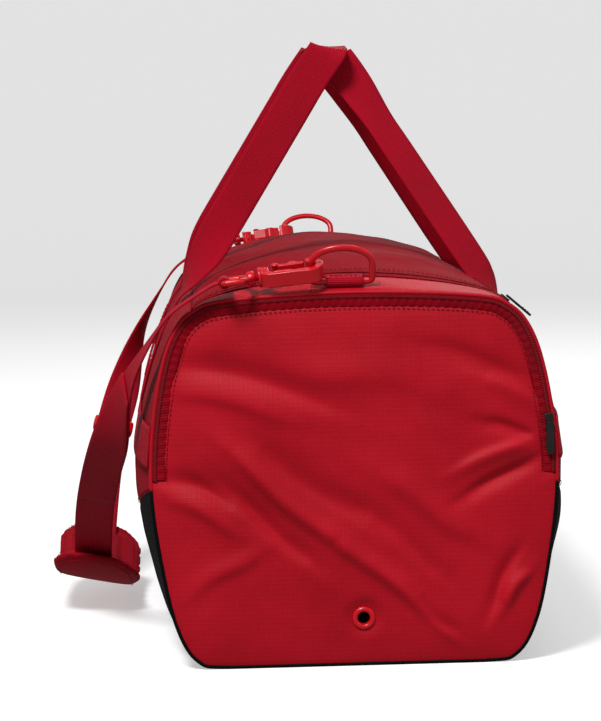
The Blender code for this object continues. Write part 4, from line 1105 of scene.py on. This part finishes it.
for name, end in ENDS:
    origin, u, v, n, flat, level = hook_frame(end)

    def at(a, b, origin=origin, u=u, v=v):
        """World point from the hook's own coordinates."""
        return origin + u * a + v * b

    half = HOOK_THICK / 2
    hook_body, gate_body = name + "_hook", name + "_gate"
    moulding(name + "_hook_moulding", hook_outline(), at, n, -half, half, GLOSS_RED, hook_body,
             (name + "_hook",), edge=0.0026)
    rib = [(-0.031, -0.0098), (-0.016, -0.0118), (-0.016, -0.0078), (-0.031, -0.0068)]
    for face in (-1, 1):
        moulding(f"{name}_hook_rib_{'back' if face < 0 else 'front'}", rib, at, n,
                 face * half - 0.0006, face * half + 0.0009, GLOSS_RED, hook_body, edge=0.0005)
    rings = ((HOOK_COLLAR, 0.0092, 0.0030), (HOOK_COLLAR - 0.0050, 0.0086, 0.0022))
    for k, (place_on, radius, length) in enumerate(rings):
        profile_of = [(radius * 0.3, -length / 2), (radius * 0.93, -length / 2), (radius, -length / 4),
                      (radius, length / 4), (radius * 0.93, length / 2), (radius * 0.3, length / 2)]
        ribbon(f"{name}_collar_{k}", turned_frames(at(-place_on, 0), u, v, 24), GLOSS_RED, hook_body,
               section=profile_of, closed=True)
    stem = [(0.0005, 0.0), (STEM_RADIUS, 0.0), (STEM_RADIUS, -0.0085), (0.0050, -0.0100), (0.0052, -0.0118),
            (0.0040, -0.0130), (0.0005, -0.0134)]
    ribbon(name + "_stem", turned_frames(at(-HOOK_COLLAR, 0), u, v, 20), GLOSS_RED, hook_body,
           section=stem, closed=True)
    start, tip, low, high = GATE_PIVOT[0] - 0.003, -0.0032, 0.0078, 0.0078 + GATE_WIDTH
    gate = [(start, low), (tip - 0.001, low), (tip, high - 0.001), (-0.0085, high), (-0.0105, high + 0.0022),
            (-0.0135, high + 0.0034), (-0.0165, high + 0.0030), (-0.0195, high), (start, high)]
    moulding(name + "_gate_moulding", gate, at, n, -half * 0.8, half * 0.8, GLOSS_RED, gate_body,
             (name + "_hook_gate",), edge=0.0011)
    for face in (-1, 1):
        knob = [(0.0004, 0.0), (0.0030, 0.0), (0.0034, 0.0006), (0.0030, 0.0014), (0.0004, 0.0017)]
        frames = turned_frames(at(*GATE_PIVOT) + n * (face * half * 0.8), n * face, v, 18)
        ribbon(f"{name}_gate_pin_{'back' if face < 0 else 'front'}", frames, GLOSS_RED, gate_body,
               section=knob, closed=True)
    inner, wire = WEB_WIDTH / 2 + LOOP_SLACK, LOOP_WIRE / 2
    corners = [(-LOOP_WALL - wire, 0.0), (-LOOP_WALL - wire, 0.006), (-LOOP_WALL - wire - 0.002, 0.010),
               (-LOOP_WALL - 0.011, inner + wire - 0.002), (-LOOP_WALL - 0.014, inner + wire),
               (-LOOP_BAR + 0.003, inner + wire), (-LOOP_BAR + 0.0008, inner + wire - 0.0008),
               (-LOOP_BAR, inner + wire - 0.003), (-LOOP_BAR, 0.0)]
    corners += [(a, -b) for a, b in reversed(corners[1:-1])]
    centres = [origin + u * p.x + flat * p.y for p in smooth_loop(corners, 4)]
    frames = []
    for k, centre in enumerate(centres):
        along = (centres[(k + 1) % len(centres)] - centres[k - 1]).normalized()
        frames.append((centre, along.cross(level), level))
    ribbon(name + "_loop", frames, GLOSS_RED, "bag_body", (name + "_swivel_loop",),
           section=circle(wire, 14), closed=True)
    boss = [(STEM_RADIUS + 0.0006, 0.0005), (0.0062, 0.0005), (0.0068, -0.0008), (0.0068, -0.0052),
            (0.0062, -0.0065), (STEM_RADIUS + 0.0006, -0.0065)]
    ribbon(name + "_boss", turned_frames(at(-LOOP_WALL, 0), u, flat, 24), GLOSS_RED, "bag_body",
           section=boss, closed=True)
print("hooks: 2")

# %% [markdown]
# ## The shoulder strap and its pad
#
# The strap is flat webbing that leaves the swivel loops, drops over the corner, twists and runs
# down to the pad, which hangs beside the bag like a sling. The webbing is modelled directly. The
# pad is foam inside cloth, so it is blown up with the cloth simulation from a thinner shape. Its
# rows of stitches and the sleeve that holds the webbing are added afterwards.

# %% The strap's path
PAD_WIDTH, PAD_THICK, PAD_HALF, PAD_SAG = 0.095, 0.013, 0.125, 0.045
PAD_STANDOFF, PAD_BOTTOM, PAD_ROLL = 0.0645, 0.024, radians(-11)
EYE_SLACK, GAP = 0.0005, 0.0003


def strap_bar(end):
    """Centre of the bar that the strap's webbing is sewn round."""
    origin, u = hook_frame(end)[:2]
    return origin - u * LOOP_BAR


def pad_arc(y, lift):
    """Point of the pad's middle line at y, raised by lift above its outer face."""
    radius = (PAD_HALF ** 2 + PAD_SAG ** 2) / (2 * PAD_SAG)
    angle, r = y / radius, radius - lift
    return Vector((-END_WIDTH / 2 - PAD_STANDOFF, r * sin(angle), PAD_BOTTOM + radius - r * cos(angle)))


def pad_frames(lift, half_length, count):
    """Frames along the pad, rolled about its middle line."""
    frames = []
    for y in spread(-half_length, half_length, count):
        along = (pad_arc(y + 0.001, lift) - pad_arc(y - 0.001, lift)).normalized()
        level = Vector((1, 0, 0))
        across = level * cos(PAD_ROLL) - along.cross(level) * sin(PAD_ROLL)
        up = -along.cross(across)
        frames.append((pad_arc(y, lift), across, up if up.z > 0 else -up))
    return frames


def strap_points():
    """Middle points and width directions of the strap's near half, from its bar to the pad."""
    bar, y_axis, edge = strap_bar(-1), Vector((0, 1, 0)), -END_WIDTH / 2
    first = bar - Vector((LOOP_WIRE / 2 + EYE_SLACK + WEB_THICK / 2, 0, 0))
    return [(first, y_axis), (bar + Vector((-0.0115, 0, -0.0026)), y_axis),
            (Vector((edge + 0.0455, bar.y, 0.3440)), y_axis),
            (Vector((edge + 0.0225, bar.y + 0.008, 0.3270)), y_axis),
            (Vector((edge + 0.0035, bar.y + 0.028, 0.3000)), Vector((-0.05, 1, 0))),
            (Vector((edge - 0.0175, bar.y + 0.065, 0.2600)), Vector((-0.25, 1, 0))),
            (Vector((edge - 0.0365, -PAD_HALF - 0.160, 0.2050)), Vector((-0.75, 0.75, 0))),
            (Vector((edge - 0.0505, -PAD_HALF - 0.097, 0.1600)), Vector((-1, 0.25, 0.05))),
            (Vector((edge - 0.0595, -PAD_HALF - 0.040, 0.1170)), Vector((-1, 0.04, 0.14)))]


near_half = strap_points()
on_pad = pad_frames(PAD_THICK + 6 * GAP + WEB_THICK / 2, PAD_HALF * 0.9, 6)
points = [p for p, _ in near_half] + [c for c, _, _ in on_pad]
widths = [w for _, w in near_half] + [-w for _, w, _ in on_pad]
points += [Vector((p.x, -p.y, p.z)) for p, _ in reversed(near_half)]
widths += [Vector((w.x, -w.y, w.z)) for _, w in reversed(near_half)]
STRAP_FRAMES = web_frames(points, widths, 9)
ribbon("strap_webbing", STRAP_FRAMES, WEBBING_RED, "strap", ("shoulder_strap",))
print("strap:", len(STRAP_FRAMES), "frames")

# %% Sewn eyes of the strap and its doubled lower part
for name, end in ENDS:
    bar = strap_bar(end)
    eye_inner = LOOP_WIRE / 2 + EYE_SLACK
    section = [(eye_inner, -WEB_WIDTH / 2), (eye_inner + 0.0018, -WEB_WIDTH / 2),
               (eye_inner + 0.0018, WEB_WIDTH / 2), (eye_inner, WEB_WIDTH / 2)]
    ribbon(name + "_strap_eye", turned_frames(bar, Vector((0, 1, 0)), Vector((1, 0, 0)), 28), WEBBING_RED,
           "strap", section=section, closed=True)
lower = [(c + up * (WEB_THICK + 0.0003) * (1 if up.x < 0 else -1), w, up)
         for c, w, up in STRAP_FRAMES[46:70]]
ribbon("strap_doubled_near", lower, WEBBING_RED, "strap")
print("strap eyes: 2")

# %% The pad's outline
PAD_ROUND = 0.046


def pad_half_width(y, inset=0.0):
    """Half the pad's width at y: parallel edges and rounded ends."""
    past = max(abs(y) - (PAD_HALF - PAD_ROUND), 0.0)
    reach = PAD_ROUND - inset
    share = min(past / reach, 1.0)
    return max((PAD_WIDTH / 2 - inset - reach) + reach * max(1 - share ** 2.4, 0.0) ** (1 / 2.4), 0.0)


def pad_places(half, count):
    """Places along the pad, closer together at its rounded ends."""
    return [half * sin(pi / 2 * t) for t in spread(-1.0, 1.0, count)]


def pad_frame(y, lift):
    """One frame of the pad at y."""
    along = (pad_arc(y + 0.001, lift) - pad_arc(y - 0.001, lift)).normalized()
    level = Vector((1, 0, 0))
    across = level * cos(PAD_ROLL) - along.cross(level) * sin(PAD_ROLL)
    up = -along.cross(across)
    return pad_arc(y, lift), across, up if up.z > 0 else -up


def pad_slab(thick, lift, shrink, count):
    """The pad as a slab with rounded ends and edges."""
    rows = []
    for y in pad_places(PAD_HALF - shrink, count):
        centre, across, up = pad_frame(y, lift)
        wide = max(pad_half_width(y, shrink), 0.001)
        past = max(abs(y) - (PAD_HALF - PAD_ROUND), 0.0) / PAD_ROUND
        tall = thick * max(0.30, (1 - min(past, 1.0) ** 2) ** 0.5)
        row = []
        for k in range(28):
            c, s = cos(2 * pi * k / 28), sin(2 * pi * k / 28)
            flat_c, flat_s = abs(c) ** 0.62 * (1 if c > 0 else -1), abs(s) ** 0.7 * (1 if s > 0 else -1)
            row.append(centre + across * (wide * flat_c) + up * (thick / 2 + tall / 2 * flat_s))
        rows.append(row)
    verts = [p for row in rows for p in row]
    faces = [(i * 28 + k, i * 28 + (k + 1) % 28, (i + 1) * 28 + (k + 1) % 28, (i + 1) * 28 + k)
             for i in range(len(rows) - 1) for k in range(28)]
    faces += [tuple(range(28)), tuple(range(len(verts) - 28, len(verts)))]
    return verts, faces


# %% The pad, blown up with the cloth simulation
def blown_up(name, verts, faces, finish, cap):
    """Remeshes a closed shape, blows it up as cloth, and caps how far each point moves."""
    mesh = bpy.data.meshes.new(name)
    mesh.from_pydata([tuple(v) for v in verts], [], faces)
    bm = bmesh.new()
    bm.from_mesh(mesh)
    bmesh.ops.recalc_face_normals(bm, faces=bm.faces)
    bm.to_mesh(mesh)
    bm.free()
    mesh.materials.append(finish)
    made = bpy.data.objects.new(name, mesh)
    bpy.context.scene.collection.objects.link(made)
    even = made.modifiers.new("even", "REMESH")
    even.mode = "VOXEL"
    even.voxel_size = 0.0042
    depsgraph = bpy.context.evaluated_depsgraph_get()
    remeshed = bpy.data.meshes.new_from_object(made.evaluated_get(depsgraph))
    made.modifiers.clear()
    made.data = remeshed
    start = np.empty(len(remeshed.vertices) * 3)
    remeshed.vertices.foreach_get("co", start)
    start = start.reshape(-1, 3)
    cloth = made.modifiers.new("cloth", "CLOTH")
    cloth.settings.quality = 6
    cloth.settings.use_pressure = True
    cloth.settings.uniform_pressure_force = 4.0
    cloth.settings.effector_weights.gravity = 0.0
    for step in range(1, 19):
        bpy.context.scene.frame_set(step)
    depsgraph = bpy.context.evaluated_depsgraph_get()
    blown = np.empty(len(start) * 3)
    made.evaluated_get(depsgraph).data.vertices.foreach_get("co", blown)
    moved = blown.reshape(-1, 3) - start
    far = np.linalg.norm(moved, axis=1, keepdims=True)
    start = start + moved * np.minimum(1.0, cap / np.maximum(far, 1e-9))
    made.modifiers.clear()
    bpy.context.scene.frame_set(1)
    remeshed.vertices.foreach_set("co", start.ravel())
    bm = bmesh.new()
    bm.from_mesh(remeshed)
    bmesh.ops.smooth_vert(bm, verts=bm.verts, factor=0.5, use_axis_x=True, use_axis_y=True, use_axis_z=True)
    bmesh.ops.smooth_vert(bm, verts=bm.verts, factor=0.5, use_axis_x=True, use_axis_y=True, use_axis_z=True)
    bm.to_mesh(remeshed)
    bm.free()
    layer = remeshed.uv_layers.new(name="cloth")
    spots = np.empty(len(remeshed.vertices) * 3)
    remeshed.vertices.foreach_get("co", spots)
    corner_verts = np.empty(len(remeshed.loops), int)
    remeshed.loops.foreach_get("vertex_index", corner_verts)
    layer.data.foreach_set("uv", spots.reshape(-1, 3)[corner_verts][:, :2].ravel())
    if not remeshed.materials:
        remeshed.materials.append(finish)
    remeshed.shade_smooth()
    smoother = made.modifiers.new("smoother", "SUBSURF")
    smoother.levels = smoother.render_levels = 1
    return made


verts, faces = pad_slab(PAD_THICK - 0.0012, 0.0006, 0.0010, 60)
pad = blown_up("pad_cushion", verts, faces, PAD_RED, 0.0016)
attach(pad, "strap")
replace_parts(pad, "shoulder_pad")
print("pad points:", len(pad.data.vertices))


# %% The pad's stitches and sleeve
def pad_rim(inset, lift):
    """Points and up directions round the pad at an inset from its edge."""
    ys = pad_places(PAD_HALF - inset, 90)
    rows = [(pad_frame(y, lift), pad_half_width(y, inset)) for y in ys]
    loop = [c + a * w for (c, a, _), w in rows[1:-1]] + [c - a * w for (c, a, _), w in reversed(rows[1:-1])]
    return loop, [up for (_, _, up), _ in rows[1:-1]] + [up for (_, _, up), _ in reversed(rows[1:-1])]


for k, lift in enumerate((0.0001, PAD_THICK - 0.0001)):
    loop, ups = pad_rim(0.010, lift)
    route = [(p, u if k else -u) for p, u in zip(loop + loop[:1], ups + ups[:1])]
    stitches(f"pad_stitches_{'inner' if k else 'outer'}", route, PAD_RED, "strap")
sleeve_top = WEB_THICK + 10 * GAP
rows, maps = [], []
for y in spread(-PAD_HALF * 0.72, PAD_HALF * 0.72, 60):
    c, w, up = pad_frame(y, PAD_THICK + GAP)
    half = WEB_WIDTH / 2 + 3 * GAP
    line = [(-half - 0.009, -0.0005), (-half - 0.005, 0.0004), (-half - 0.0012, sleeve_top * 0.7),
            (-half + 0.004, sleeve_top + 0.0006), (0.0, sleeve_top + 0.0014), (half - 0.004, sleeve_top + 0.0006),
            (half + 0.0012, sleeve_top * 0.7), (half + 0.005, 0.0004), (half + 0.009, -0.0005)]
    rows.append([c + w * a + up * b for a, b in line])
    maps.append([(a, y) for a, _ in line])
sheet("pad_sleeve_cloth", rows, maps, PAD_RED, "strap", ("pad_sleeve",), thick=0.0010,
      away_from=(-0.25, 0, 0.0))
print("pad stitches and sleeve")

# %% The strap's adjuster
packed_place = middle_of("strap_adjuster")
centre, across, up = min(STRAP_FRAMES, key=lambda frame: (frame[0] - packed_place).length)
ahead_of = across.cross(up).normalized()
frames = []
wide, tall = WEB_WIDTH / 2 + 0.0018, 0.0046
ring = smooth_loop([(-wide, -tall * 0.6), (-wide * 0.9, -tall), (0.0, -tall), (wide * 0.9, -tall), (wide, -tall * 0.6),
                    (wide, tall * 0.6), (wide * 0.9, tall), (0.0, tall), (-wide * 0.9, tall), (-wide, tall * 0.6)], 3)
for k, p in enumerate(ring):
    nxt, prv = ring[(k + 1) % len(ring)], ring[k - 1]
    along = (across * (nxt.x - prv.x) + up * (nxt.y - prv.y)).normalized()
    frames.append((centre + across * p.x + up * p.y, ahead_of, along.cross(ahead_of)))
ribbon("adjuster", frames, GLOSS_RED, "strap", ("strap_adjuster",),
       section=[(0.008 * cos(a), 0.0014 * sin(a)) for a in spread(0, 2 * pi, 14)[:-1]], closed=True)
print("adjuster")

# %% [markdown]
# ## Sliders, pulls and vents
#
# The sliders are black mouldings: a waisted body with a bridge over it, and a long soft pull. The
# vents are glossy eyelets pressed through the cloth. Both are turned or bevelled mouldings, placed
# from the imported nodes' own boxes.

# %% Zip sliders and pulls
def slider(name, along, out, pull_dir):
    """A waisted slider body with a bridge, and its pull."""
    across = along.cross(out).normalized()
    centre = middle_of(name + "_zip_slider")

    def flat_at(a, b, centre=centre, across=across, along=along):
        """World point of the slider's own plane."""
        return centre + across * a + along * b

    waist = smooth_loop([(-0.0047, -0.0068), (0.0, -0.0074), (0.0047, -0.0068), (0.0032, 0.0), (0.0040, 0.0070),
                         (0.0, 0.0076), (-0.0040, 0.0070), (-0.0032, 0.0)], 4)
    moulding(name + "_slider_body", waist, flat_at, out, -0.0015, 0.0012, BLACK_PLASTIC, name + "_slider",
             (name + "_zip_slider",), edge=0.0007)
    side = pull_dir.cross(out).normalized()
    lie = side.cross(pull_dir).normalized()
    lie = lie if lie.dot(out) > 0 else -lie
    start = middle_of(name + "_zip_pull") - pull_dir * 0.015

    def pull_at(a, b, start=start, side=side, pull_dir=pull_dir):
        """World point of the pull's own plane."""
        return start + side * a + pull_dir * b

    tab = smooth_loop([(-0.0022, 0.0006), (0.0, -0.0002), (0.0022, 0.0006), (0.0030, 0.006), (0.0036, 0.016), (0.0034, 0.027),
                       (0.0, 0.0300), (-0.0034, 0.027), (-0.0036, 0.016), (-0.0030, 0.006)], 4)
    moulding(name + "_pull_tab", tab, pull_at, lie, -0.0011, 0.0011, BLACK_PLASTIC, name + "_pull",
             (name + "_zip_pull",), edge=0.0006)
    for k in range(3):
        grip = [(-0.0024, 0.019 + k * 0.0028), (0.0024, 0.019 + k * 0.0028), (0.0024, 0.0202 + k * 0.0028),
                (-0.0024, 0.0202 + k * 0.0028)]
        moulding(f"{name}_pull_grip_{k}", grip, pull_at, lie, 0.0008, 0.0015, BLACK_PLASTIC, name + "_pull",
                 edge=0.0002)


above, below = surface(ARC_LID + 0.004, 0.0), surface(ARC_LID - 0.012, 0.0)
slope = Vector((below.x - above.x, 0, below.z - above.z)).normalized()
slider("lid", Vector((0, 1, 0)), Vector((-slope.z, 0, slope.x)).normalized(), slope)
for name, end in ENDS:
    arc = arc_at_height(0.222)
    step = surface(arc + 0.010, HALF, -END_TAPE) - surface(arc - 0.010, HALF, -END_TAPE)
    slider(name, Vector((step.x, 0, step.z)).normalized(), Vector((0, end, 0)), Vector((0, 0, -1)))
print("sliders: 3")

# %% Vent eyelets and washers
for name, end in ENDS:
    centre = Vector((VENT_X, end * HALF, VENT_Z))
    lip = [(0.0055, 0.0062), (0.0070, 0.0062), (0.0070, 0.0), (0.0104, -0.0004), (0.0108, -0.0014), (0.0102, -0.0026),
           (0.0088, -0.0034), (0.0072, -0.0034), (0.0060, -0.0024), (0.0055, -0.0008)]
    ribbon(name + "_eyelet", turned_frames(centre, Vector((0, -end, 0)), Vector((1, 0, 0)), 40), GLOSS_RED,
           "bag_body", (name + "_vent_eyelet",), section=lip, closed=True)
print("eyelets: 2")

# %% Inside pieces
for name, end in ENDS:
    y, top = end * (HALF - POCKET_DEPTH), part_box(name + "_pocket_divider")[1].z - 0.0008
    middle, rows, maps = Vector((0, y, 0.17)), [], []
    for t in spread(0.0, 1.0, 30):
        row, line = [], []
        for arc in spread(0.0, 2 * GIRTH, 160):
            rim = surface(arc, y, -0.0085)
            rim.z = min(rim.z, top)
            p = middle.lerp(rim, t)
            sag = 0.004 * noise.noise(Vector((p.x * 9, p.z * 9, end))) * (1 - t)
            row.append(p + Vector((0, sag, 0)))
            line.append((p.x, p.z))
        rows.append(row)
        maps.append(line)
    sheet(name + "_divider_cloth", rows, maps, BLACK_CLOTH, "bag_body", (name + "_pocket_divider",))
for node in ("base_board", "near_vent_washer", "far_vent_washer"):
    frame["nodes"][node].data.materials.clear()
    frame["nodes"][node].data.materials.append(BLACK_BOARD)
print("dividers, board and washers")
